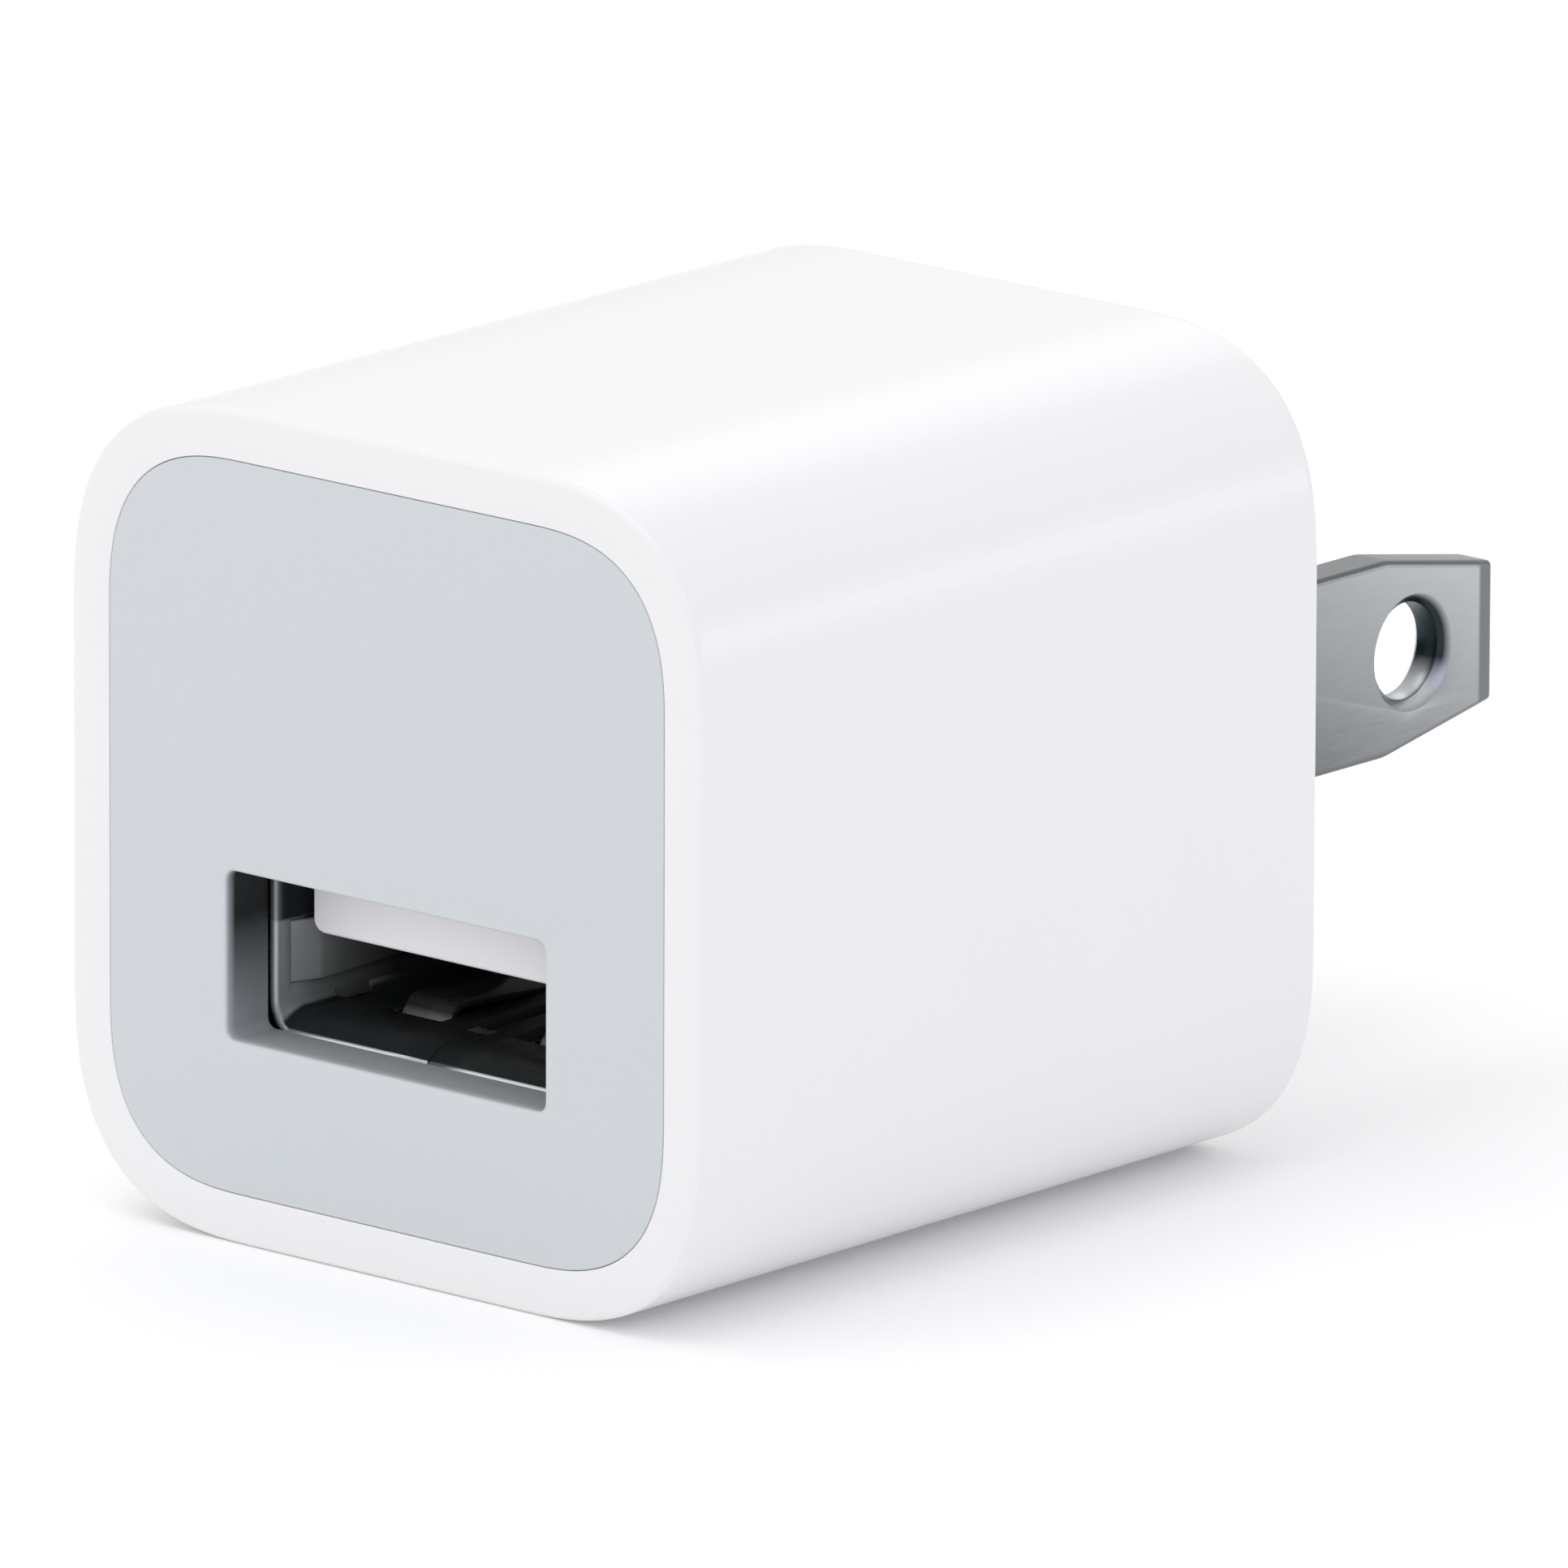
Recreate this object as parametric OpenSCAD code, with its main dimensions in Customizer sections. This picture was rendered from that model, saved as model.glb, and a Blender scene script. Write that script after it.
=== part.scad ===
// Compact wall charger: a white rounded casing with two flat blades on its back and
// one USB socket in a grey end plate on its front. Millimetres, +Z up, blades towards +Y.
// The origin is the centre of the back face, which rests against the wall outlet.

/* [Casing] */
// Width of the casing
body_w = 26.5; // [26.5:0.5:28]
// Height of the casing
body_h = 27; // [27:0.5:29]
// Depth of the casing from the back face to the socket face
body_d = 29.6; // [29.6:0.4:31.2]
// Radius of the four long corners
corner_r = 6.1; // [5.5:0.1:6.4]
// Wall thickness around the end plate
rim_w = 1.62; // [1.5:0.02:1.8]
// Wall thickness behind the end plate
wall_t = 2; // [1.9:0.05:2.1]
// Rounding of the front edge
front_edge_r = 0.2; // [0.1:0.05:0.4]
// Rounding of the back edge
back_edge_r = 0.45; // [0.2:0.05:0.6]

/* [End plate] */
// Thickness of the end plate
plate_t = 2; // [1.8:0.1:2]
// Gap between the end plate and the casing
plate_gap = 0.06; // [0.04:0.02:0.1]
// Width of the socket cut-out
cutout_w = 13.4; // [13.3:0.1:13.8]
// Height of the socket cut-out
cutout_h = 5.5; // [5.4:0.1:5.8]
// Height of the cut-out's centre above the middle of the casing
cutout_z = -4.15; // [-4.3:0.05:-4]

/* [Blades] */
// Distance between the blade centres
blade_pitch = 12.7; // [12.7]
// Width of a blade
blade_w = 6.55; // [6.2:0.05:6.6]
// Height of the blades above the middle of the casing
blade_z = 0.15; // [0:0.05:0.3]
// Thickness of a blade
blade_t = 1.5; // [1.4:0.05:1.6]
// Length of a blade outside the casing
blade_len = 15.9; // [15.6:0.1:17]
// Distance from the casing to the start of the tip's taper
taper_start = 10.6; // [10:0.2:12]
// Width of a blade at its tip
tip_w = 4.6; // [4:0.2:5.2]
// Diameter of the hole in a blade
blade_hole_d = 3.2; // [3:0.1:3.4]
// Distance from the casing to the hole's centre
blade_hole_y = 11.9; // [11.6:0.1:12.2]
// Chamfer at each end of the hole
hole_chamfer = 0.35; // [0.2:0.05:0.4]

/* [USB socket] */
// Distance from the socket face to the metal shield
port_setback = 2.05; // [2.05:0.05:2.2]
// Height of the socket's centre above the middle of the casing
port_z = -3.8; // [-3.9:0.05:-3.7]
// Inside width of the shield
port_w = 12.5; // [12.5]
// Inside height of the shield
port_h = 5.12; // [5.12]
// Thickness of the shield's sheet
sheet_t = 0.3; // [0.25:0.05:0.3]
// Length of the shield
shield_len = 13.6; // [13.4:0.1:14]
// Width of the plastic tongue
tongue_w = 11.1; // [11:0.05:11.2]
// Thickness of the plastic tongue
tongue_t = 1.84; // [1.8:0.02:1.88]
// Width of a contact spring
contact_w = 1; // [0.9:0.05:1]

/* [Circuit boards] */
// Thickness of both boards
board_t = 1; // [0.8:0.1:1]
// Top face of the output board
output_board_top = -7.2; // [-7.3:0.05:-7.15]
// Bottom face of the main board
main_board_bottom = 8.6; // [8.4:0.1:8.6]

/* [Hidden] */
$fn = 64;
eps = 0.01;

// Planes along the depth
front_y = -body_d;
plate_back_y = front_y + plate_t;
port_front_y = front_y + port_setback;

// Opening for the end plate, and the cavity behind it
opening_w = body_w - 2 * rim_w;
opening_h = body_h - 2 * rim_w;
opening_r = corner_r - rim_w;
cavity_w = body_w - 2 * wall_t;
cavity_h = body_h - 2 * wall_t;
cavity_r = corner_r - wall_t;

// Rails in the casing that carry the boards
rail_h = 0.5;
rail_root = 0.5;
output_rail_w = 0.9;
output_rail_y = [-24, -6];
main_rail_w = 1.2;
main_rail_y = [-20.4, -13.6];

// Snap arms behind the end plate, and the pockets they catch in
arm_t = 1.1;
arm_w = 6;
arm_len = 6.5;
arm_z = 4;
arm_x = cavity_w / 2 - 0.1 - arm_t;
barb_h = 0.6;
barb_len = 1.6;
pocket_d = 0.7;
pocket_len = 2.2;

// Blades inside the casing
blade_tail = 5.1;
ear_w = 7.8;
ear_y = -4.4;
ear_len = 1;
blade_gap = 0.04;
holder_w = 19.2;
holder_h = 9.2;
holder_d = 2.9;
strip_t = 0.4;
strip_w = 3;
strip_bottom = -1.8;
tab_h = 1.6;

// Socket: distances s run rearwards from the front of the shield
shield_w = port_w + 2 * sheet_t;
shield_h = port_h + 2 * sheet_t;
lip_len = 1;
lip_rise = 0.47;
roof_lip_w = 11.6;
side_lip_w = 4.2;
tongue_start = 0.75;
tongue_under = port_z + 0.05;
block_start = 10.5;
block_end = 12.4;
block_gap = 0.06;
groove_start = 1.35;
groove_d = 0.95;
groove_w = contact_w + 0.4;
contact_t = 0.25;
contact_x = [-3.5, -1, 1, 3.5];
contact_root_s = 10;
contact_root_z = tongue_under + 0.45;
contact_knee_s = 2.9;
contact_knee_z = -4.3;
contact_tip_s = 1.9;
contact_tip_z = tongue_under + 0.3;
knee_half = 0.3;
lead_leg_w = 0.6;
floor_slot_start = 12;
floor_slot_w = 8.6;

// Fingers: [width, tip s, knee s, root s, height of the knee over the sheet]
finger_t = 0.24;
finger_gap = 0.15;
root_gap = 0.05;
roof_finger = [2, 2.7, 3.9, 9, 0.28];
floor_finger = [2, 2.7, 3.9, 9, 0.38];
side_finger = [2, 0.6, 1.9, 8, 0.34];
finger_x = 2.9;
side_finger_drop = 0.7;

// Shield legs, in pairs along the depth
leg_s = [3.4, 9.6];
leg_len = 1.6;
leg_bottom = -9.2;
leg_top = port_z - 2;

// Boards
output_board_w = 22;
output_board_y = [port_front_y + 1.25, -5.6];
main_board_w = 20.6;
main_board_y = [-26.8, -5.8];
lead_d = 0.5;
lead_hole_d = 0.8;
lead_above = 0.7;
main_board_top = main_board_bottom + board_t;
output_board_bottom = output_board_top - board_t;

// Components that hang from the main board: [x, y] of each
transformer_at = [-2.6, -19.6];
bobbin_w = 12.2;
bobbin_d = 11.6;
core_d = 6.4;
core_t = 1.7;
transformer_bottom = -0.15;
flange_w = 8.2;
flange_t = 0.6;
winding_bottom = transformer_bottom + core_t + 0.1 + flange_t;
winding_top = main_board_bottom - core_t - flange_t - 0.35;
tube_w = 4.6;
tube_d = 5.2;
core_leg_w = 1.6;
pin_pitch = 2.8;
pin_inset = 0.9;
round_cap_at = [6.9, -20.9];
round_cap_d = 5.8;
round_cap_len = 10.6;
round_cap_z = 5.2;
tall_cap_d = 6.2;
tall_cap_h = 11;
rear_cap_at = [-0.9, -9.95];
corner_cap_at = [-7.35, -9.95];
disc_at = [6.6, -11.1];
disc_d = 7;
disc_t = 2.4;
disc_z = 4.4;
resistor_at = [9.2, -7.6];
resistor_d = 2.5;
resistor_len = 6.4;
inductor_at = [4.3, -7.75];
inductor_d = 3.8;
inductor_len = 6;
transistor_at = [6.7, -13.85];
transistor_size = [7.4, 2.2, 7.2];
transistor_hole_d = 2.2;
bridge_at = [6, -18.8];
bridge_size = [4.7, 3.9, 1.4];
controller_at = [-5.6, -18.5];
controller_size = [4.9, 3.8, 1.35];
optocoupler_at = [-0.3, -18.9];
optocoupler_size = [4.4, 3.6, 1.6];
header_x = -9.65;
header_y = [-19.4, -17.2, -15];
header_base_h = 2.4;
header_pin = 0.6;

// Components on the output board
large_out_cap_at = [5.2, -10.2];
large_out_cap_d = 5;
large_out_cap_h = 5.4;
small_out_cap_at = [-8.8, -23.2];
small_out_cap_d = 3.9;
small_out_cap_h = 5.2;
diode_at = [3.6, -20.6];
diode_size = [3.8, 4.4, 2];
coil_at = [-3.4, -19.4];
coil_size = [5, 5, 2.1];

// Chip resistors and capacitors: the size of one, along X or along Y
chip_part = [1.2, 2, 0.6];
chip_part_across = [2, 1.2, 0.6];
fuse_size = [2.9, 1.6, 1.1];

// Insulating sheet over the socket
barrier_at = [0.9, -20.3, -0.45];
barrier_size = [19, 12.6, 0.22];

function pair(at, pitch) = [[at[0] - pitch / 2, at[1]], [at[0] + pitch / 2, at[1]]];
function port_y(s) = port_front_y + s;
function middle(range) = (range[0] + range[1]) / 2;

// Lead positions, shared by the components and the boards they are soldered into
round_cap_leads = pair([round_cap_at[0], round_cap_at[1] + round_cap_len / 2 + 0.35], 2);
rear_cap_leads = pair(rear_cap_at, 2.5);
corner_cap_leads = pair(corner_cap_at, 2.5);
disc_leads = pair(disc_at, 5);
resistor_lead = [resistor_at[0] - 0.2, resistor_at[1]];
inductor_leads = pair(inductor_at, 2);
transistor_leads = [for (i = [-1:1]) [transistor_at[0] + i * 2.3, transistor_at[1] + 0.4]];
transformer_leads = [for (side = [-1, 1]) for (i = [-1:1])
    [transformer_at[0] + i * pin_pitch, transformer_at[1] + side * (bobbin_d / 2 - pin_inset)]];
large_out_leads = pair(large_out_cap_at, 2);
small_out_leads = pair(small_out_cap_at, 1.5);
header_leads = [for (y = header_y) [header_x, y]];
contact_lead_y = port_y(block_end + contact_t / 2 + 0.02);

// Flat outlines, drawn with true arcs
module rounded_rect(w, h, r) {
    square([w, h - 2 * r], center = true);
    square([w - 2 * r, h], center = true);
    for (x = [-1, 1], y = [-1, 1])
        translate([x * (w / 2 - r), y * (h / 2 - r)]) circle(r);
}

// An outline in X and Z, extruded from y0 to y1
module along_y(y0, y1) {
    translate([0, y1, 0]) rotate([90, 0, 0]) linear_extrude(y1 - y0) children();
}

// An outline in Y and Z, extruded along X about x = 0
module along_x(w) {
    translate([-w / 2, 0, 0]) rotate([90, 0, 90]) linear_extrude(w) children();
}

// An upright cylinder from z0 to z1
module post(d, at, z0, z1) {
    translate([at[0], at[1], z0]) cylinder(d = d, h = z1 - z0);
}

module block(size, at) {
    translate(at) cube(size, center = true);
}

// Depth section of the casing: w wide, with its back edge at 0 and its front edge at body_d
module depth_section(w, x0) {
    translate([x0, back_edge_r]) square([w - x0, body_d - back_edge_r - front_edge_r]);
    translate([x0, 0]) square([w - back_edge_r - x0, back_edge_r + eps]);
    translate([x0, body_d - front_edge_r - eps]) square([w - front_edge_r - x0, front_edge_r + eps]);
    translate([w - back_edge_r, back_edge_r]) circle(back_edge_r);
    translate([w - front_edge_r, body_d - front_edge_r]) circle(front_edge_r);
}

module slab_section(w) {
    depth_section(w / 2, 0);
    mirror([1, 0]) depth_section(w / 2, 0);
}

// Solid block of the casing: two slabs and four turned corners
module casing_block() {
    rotate([90, 0, 0]) {
        translate([0, body_h / 2 - corner_r, 0]) rotate([90, 0, 0])
            linear_extrude(body_h - 2 * corner_r) slab_section(body_w);
        translate([-body_w / 2 + corner_r, 0, 0]) rotate([90, 0, 90])
            linear_extrude(body_w - 2 * corner_r) slab_section(body_h);
        for (a = [0:3])
            translate([(a == 0 || a == 3 ? 1 : -1) * (body_w / 2 - corner_r),
                       (a < 2 ? 1 : -1) * (body_h / 2 - corner_r), 0])
                rotate([0, 0, 90 * a]) rotate_extrude(angle = 90) depth_section(corner_r, 0);
    }
}

// Ribs inside the casing that carry the edges of both boards, each sunk into the wall by its root
module board_rail(side, w, y_range, board_bottom) {
    block([w + rail_root, y_range[1] - y_range[0], rail_h],
          [side * (cavity_w - w + rail_root) / 2, middle(y_range), board_bottom - rail_h / 2]);
}

module board_rails() {
    for (side = [-1, 1]) {
        board_rail(side, output_rail_w, output_rail_y, output_board_bottom);
        board_rail(side, main_rail_w, main_rail_y, main_board_bottom);
    }
}

module outer_shell() {
    color("white") difference() {
        union() {
            difference() {
                casing_block();
                along_y(plate_back_y - eps, -wall_t) rounded_rect(cavity_w, cavity_h, cavity_r);
            }
            board_rails();
        }
        along_y(front_y - 1, plate_back_y) rounded_rect(opening_w, opening_h, opening_r);
        for (side = [-1, 1]) {
            block([blade_t + 2 * blade_gap, 3 * wall_t, blade_w + 2 * blade_gap],
                  [side * blade_pitch / 2, 0, blade_z]);
            block([2 * pocket_d, pocket_len, arm_w + 0.4],
                  [side * cavity_w / 2, plate_back_y + arm_len - pocket_len / 2, arm_z]);
        }
    }
}

// Snap arm on the right-hand side, with its barb at the far end
module snap_arm() {
    translate([0, 0, arm_z - arm_w / 2]) linear_extrude(arm_w) polygon([
        [arm_x, plate_back_y - eps],
        [arm_x + arm_t, plate_back_y - eps],
        [arm_x + arm_t, plate_back_y + arm_len - barb_len - 0.3],
        [arm_x + arm_t + barb_h, plate_back_y + arm_len - barb_len - 0.1],
        [arm_x + arm_t, plate_back_y + arm_len],
        [arm_x, plate_back_y + arm_len]
    ]);
}

module end_plate() {
    color([0.8, 0.82, 0.83]) {
        difference() {
            along_y(front_y, plate_back_y)
                rounded_rect(opening_w - 2 * plate_gap, opening_h - 2 * plate_gap, opening_r - plate_gap);
            translate([0, 0, cutout_z]) along_y(front_y - 1, plate_back_y + 1)
                rounded_rect(cutout_w, cutout_h, 0.35);
        }
        snap_arm();
        mirror([1, 0, 0]) snap_arm();
    }
}

// Outline of one blade in Y and Z
module blade_outline() {
    tip_r = 0.2;
    polygon([
        [-blade_tail, -blade_w / 2], [taper_start, -blade_w / 2],
        [blade_len - tip_r, -tip_w / 2 - tip_r * (blade_w - tip_w) / 2 / (blade_len - taper_start)],
        [blade_len, -tip_w / 2 + tip_r], [blade_len, tip_w / 2 - tip_r],
        [blade_len - tip_r, tip_w / 2 + tip_r * (blade_w - tip_w) / 2 / (blade_len - taper_start)],
        [taper_start, blade_w / 2], [-blade_tail, blade_w / 2]
    ]);
    translate([ear_y, -ear_w / 2]) square([ear_len, ear_w]);
}

module blade() {
    difference() {
        along_x(blade_t) blade_outline();
        translate([0, blade_hole_y, 0]) rotate([0, 90, 0]) {
            cylinder(d = blade_hole_d, h = 2 * blade_t, center = true);
            for (side = [0, 1]) mirror([0, 0, side]) translate([0, 0, blade_t / 2 - hole_chamfer])
                cylinder(d1 = blade_hole_d, d2 = blade_hole_d + 4 * hole_chamfer, h = 2 * hole_chamfer);
        }
    }
}

module blade_left() {
    color("silver") translate([-blade_pitch / 2, 0, blade_z]) blade();
}

module blade_right() {
    color("silver") translate([blade_pitch / 2, 0, blade_z]) blade();
}

// Moulded block that grips the ears of both blades
module blade_holder() {
    color([0.15, 0.15, 0.16]) difference() {
        along_y(-wall_t - holder_d, -wall_t) rounded_rect(holder_w, holder_h, 1.2);
        for (side = [-1, 1]) translate([side * blade_pitch / 2, 0, blade_z]) {
            block([blade_t + 2 * blade_gap, 20, blade_w + 2 * blade_gap], [0, 0, 0]);
            block([blade_t + 2 * blade_gap, ear_len + 2 * blade_gap, ear_w + 2 * blade_gap],
                  [0, ear_y + ear_len / 2, 0]);
        }
    }
}

// Metal strip from the inner end of a blade up to the main board
module contact_strip() {
    strip_y = -blade_tail - strip_t / 2;
    block([strip_w, strip_t, main_board_bottom - strip_bottom],
          [0, strip_y, middle([strip_bottom, main_board_bottom])]);
    block([1, strip_t, 2 * tab_h], [0, strip_y, main_board_bottom]);
    translate([0, strip_y - strip_t / 2 + eps, 0]) rotate([90, 0, 0]) cylinder(d = 1.8, h = 0.5);
}

module contact_strip_left() {
    color("goldenrod") translate([-blade_pitch / 2, 0, 0]) contact_strip();
}

module contact_strip_right() {
    color("goldenrod") translate([blade_pitch / 2, 0, 0]) contact_strip();
}

// Flared lip along the bottom of the shield's mouth, w wide, for the floor and the roof
module lip(w, half) {
    along_x(w) polygon([
        [port_y(0), -half - lip_rise],
        [port_y(lip_len) + eps, -half],
        [port_y(lip_len) + eps, -half - sheet_t],
        [port_y(0), -half - sheet_t - lip_rise]
    ]);
}

// Window that a finger moves in, cut through the floor of the shield
module finger_window(finger, half) {
    s0 = finger[1] - finger_gap;
    s1 = finger[3] + finger_t / 2 + root_gap;
    block([finger[0] + 2 * finger_gap, s1 - s0, 1], [0, port_y((s0 + s1) / 2), -half]);
}

// Rounded root of a sprung strip, on its bending axis
module strip_root(w, t, s, z) {
    translate([-w / 2, port_y(s), z]) rotate([0, 90, 0]) cylinder(d = t, h = w);
}

// Places its children at each of the six fingers: k is 0 and 1 on the roof, 2 and 3 on the floor,
// 4 and 5 on the sides, left first
module at_finger(k) {
    side = k % 2 == 0 ? -1 : 1;
    translate([0, 0, port_z]) {
        if (k < 2) mirror([0, 0, 1]) translate([side * finger_x, 0, 0]) children();
        if (k == 2 || k == 3) translate([side * finger_x, 0, 0]) children();
        if (k > 3) translate([0, 0, -side_finger_drop]) rotate([0, side < 0 ? 90 : -90, 0]) children();
    }
}

function finger_of(k) = k < 2 ? roof_finger : k < 4 ? floor_finger : side_finger;
function half_of(k) = k < 4 ? port_h / 2 : port_w / 2;

module usb_shield() {
    color("lightgray") {
        difference() {
            translate([0, 0, port_z]) {
                difference() {
                    along_y(port_y(lip_len), port_y(shield_len))
                        rounded_rect(shield_w, shield_h, 0.3 + sheet_t);
                    along_y(port_y(lip_len) - 1, port_y(shield_len - sheet_t))
                        rounded_rect(port_w, port_h, 0.3);
                }
                for (side = [-1, 1])
                    block([sheet_t, lip_len + 2 * eps, side_lip_w],
                          [side * (port_w + sheet_t) / 2, port_y(lip_len / 2 + eps), 0]);
            }
            for (k = [0:5]) at_finger(k) finger_window(finger_of(k), half_of(k));
            block([floor_slot_w, shield_len - sheet_t - floor_slot_start, 1],
                  [0, port_y((floor_slot_start + shield_len - sheet_t) / 2), port_z - shield_h / 2]);
        }
        translate([0, 0, port_z]) {
            lip(roof_lip_w, port_h / 2);
            mirror([0, 0, 1]) lip(roof_lip_w, port_h / 2);
        }
        for (side = [-1, 1], s = leg_s)
            block([sheet_t, leg_len, leg_top - leg_bottom],
                  [side * (shield_w - sheet_t) / 2, port_y(s), (leg_top + leg_bottom) / 2]);
    }
}

// White tongue with its rear block
module usb_insulator() {
    color("white") difference() {
        union() {
            translate([0, 0, tongue_under + tongue_t / 2])
                along_y(port_y(tongue_start), port_y(block_start) + 0.5)
                    rounded_rect(tongue_w, tongue_t, 0.45);
            translate([0, 0, port_z]) along_y(port_y(block_start), port_y(block_end))
                rounded_rect(port_w - 2 * block_gap, port_h - 2 * block_gap, 0.35);
        }
        for (x = contact_x) {
            block([groove_w, block_start - groove_start, groove_d],
                  [x, port_y((block_start + groove_start) / 2), tongue_under + groove_d / 2 - eps]);
            block([contact_w + 0.06, 8, contact_t + 0.04], [x, port_y(block_end), contact_root_z]);
        }
    }
}

// Fixed tails of the four contacts: in through the rear block, then down to the output board
module contact_leads() {
    s0 = contact_root_s + contact_t / 2 + root_gap;
    s1 = block_end + contact_t + 0.02;
    color("gold") for (x = contact_x) {
        block([contact_w, s1 - s0, contact_t], [x, port_y((s0 + s1) / 2), contact_root_z]);
        block([lead_leg_w, contact_t, contact_root_z - output_board_bottom + 0.6],
              [x, contact_lead_y, (contact_root_z + output_board_bottom - 0.6) / 2]);
    }
}

// Springy part of one contact: from its root down to a knee, then up to a tip inside the groove
module contact_spring(i) {
    color("gold") translate([contact_x[i], 0, 0]) {
        strip_root(contact_w, contact_t, contact_root_s, contact_root_z);
        along_x(contact_w) polygon([
            [port_y(contact_root_s), contact_root_z - contact_t / 2],
            [port_y(contact_knee_s + knee_half), contact_knee_z - contact_t / 2],
            [port_y(contact_knee_s - knee_half), contact_knee_z - contact_t / 2],
            [port_y(contact_tip_s), contact_tip_z - contact_t / 2],
            [port_y(contact_tip_s), contact_tip_z + contact_t / 2],
            [port_y(contact_knee_s - knee_half), contact_knee_z + contact_t / 2],
            [port_y(contact_knee_s + knee_half), contact_knee_z + contact_t / 2],
            [port_y(contact_root_s), contact_root_z + contact_t / 2]
        ]);
    }
}

module usb_contact_1() { contact_spring(0); }
module usb_contact_2() { contact_spring(1); }
module usb_contact_3() { contact_spring(2); }
module usb_contact_4() { contact_spring(3); }

// One retention finger of the shield, drawn on the floor and moved into place
module shield_finger(k) {
    f = finger_of(k);
    base = -half_of(k) - sheet_t / 2;
    knee = -half_of(k) + f[4] - finger_t / 2;
    color("lightgray") at_finger(k) {
        strip_root(f[0], finger_t, f[3], base);
        along_x(f[0]) polygon([
            [port_y(f[3]), base - finger_t / 2],
            [port_y(f[2] + knee_half), knee - finger_t / 2],
            [port_y(f[2] - knee_half), knee - finger_t / 2],
            [port_y(f[1]), base - finger_t / 2],
            [port_y(f[1]), base + finger_t / 2],
            [port_y(f[2] - knee_half), knee + finger_t / 2],
            [port_y(f[2] + knee_half), knee + finger_t / 2],
            [port_y(f[3]), base + finger_t / 2]
        ]);
    }
}

module shield_finger_roof_left() { shield_finger(0); }
module shield_finger_roof_right() { shield_finger(1); }
module shield_finger_floor_left() { shield_finger(2); }
module shield_finger_floor_right() { shield_finger(3); }
module shield_finger_side_left() { shield_finger(4); }
module shield_finger_side_right() { shield_finger(5); }

// A board with rounded corners and a hole for each lead
module board(w, y_range, z0, r, leads) {
    difference() {
        translate([0, middle(y_range), z0])
            linear_extrude(board_t) rounded_rect(w, y_range[1] - y_range[0], r);
        for (at = leads) post(lead_hole_d, at, z0 - 1, z0 + board_t + 1);
    }
}

module main_board() {
    color("darkgreen") difference() {
        board(main_board_w, main_board_y, main_board_bottom, 1.5,
              concat(round_cap_leads, rear_cap_leads, corner_cap_leads, disc_leads, [resistor_lead],
                     inductor_leads, transistor_leads, transformer_leads, header_leads));
        for (side = [-1, 1])
            block([1.4, 3, 4], [side * blade_pitch / 2, -blade_tail - strip_t / 2, main_board_bottom]);
    }
}

module output_board() {
    contacts = [for (x = contact_x) [x, contact_lead_y]];
    color("darkgreen") difference() {
        board(output_board_w, output_board_y, output_board_bottom, 1,
              concat(large_out_leads, small_out_leads, header_leads, contacts));
        for (side = [-1, 1], s = leg_s)
            block([0.8, leg_len + 0.5, 4],
                  [side * (shield_w - sheet_t) / 2, port_y(s), output_board_bottom]);
    }
}

// Plastic base of the pins that join the two boards
module link_header() {
    color([0.12, 0.12, 0.13]) difference() {
        block([1.3, header_y[2] - header_y[0] + 1.8, header_base_h],
              [header_x, header_y[1], output_board_top + header_base_h / 2]);
        for (y = header_y)
            block([header_pin + 0.04, header_pin + 0.04, 10], [header_x, y, output_board_top]);
    }
}

module link_pins() {
    pin_side = header_pin * 0.85;
    color("gold") for (y = header_y)
        block([pin_side, pin_side, main_board_top - output_board_bottom + 2 * lead_above],
              [header_x, y, (main_board_top + output_board_bottom) / 2]);
}

// Thin insulating sheet between the socket and the main board's components
module barrier_sheet() {
    color([0.95, 0.75, 0.2]) translate(barrier_at)
        linear_extrude(barrier_size[2]) rounded_rect(barrier_size[0], barrier_size[1], 0.8);
}

// Bobbin: two flanges on a square tube, with a block along each side for a row of pins
module transformer_bobbin() {
    color([0.1, 0.1, 0.11]) translate([transformer_at[0], transformer_at[1], 0]) difference() {
        union() {
            for (z = [winding_bottom - flange_t, winding_top])
                translate([0, 0, z]) linear_extrude(flange_t) rounded_rect(flange_w, bobbin_d, 0.6);
            block([tube_w, tube_d, 4], [0, 0, (transformer_bottom + main_board_bottom) / 2]);
            for (side = [-1, 1])
                block([flange_w, 1.6, core_t + 0.6],
                      [0, side * (bobbin_d / 2 - 0.8), main_board_bottom - (core_t + 0.6) / 2 - 0.05]);
        }
        block([tube_w - 1.3, tube_d - 1.2, 12], [0, 0, (transformer_bottom + main_board_bottom) / 2]);
        for (side = [-1, 1], i = [-1:1])
            post(lead_d + 0.04, [i * pin_pitch, side * (bobbin_d / 2 - pin_inset)],
                 main_board_bottom - core_t - 0.6, main_board_bottom + 1);
    }
}

module transformer_pins() {
    color("silver") for (lead = transformer_leads)
        post(lead_d, lead, main_board_bottom - core_t - 0.4, main_board_top + lead_above);
}

// Ferrite core: two E halves that meet in the bobbin
module transformer_core() {
    core_h = main_board_bottom - transformer_bottom - 0.3;
    mid_z = transformer_bottom + core_h / 2;
    color([0.22, 0.22, 0.24]) translate([transformer_at[0], transformer_at[1], 0]) difference() {
        union() {
            for (z = [transformer_bottom + core_t / 2, transformer_bottom + core_h - core_t / 2])
                block([bobbin_w, core_d, core_t], [0, 0, z]);
            for (side = [-1, 1])
                block([core_leg_w, core_d, core_h], [side * (bobbin_w - core_leg_w) / 2, 0, mid_z]);
            block([tube_w - 1.4, tube_d - 1.3, core_h], [0, 0, mid_z]);
        }
        block([bobbin_w + 1, core_d + 1, 0.06], [0, 0, mid_z]);
    }
}

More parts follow.
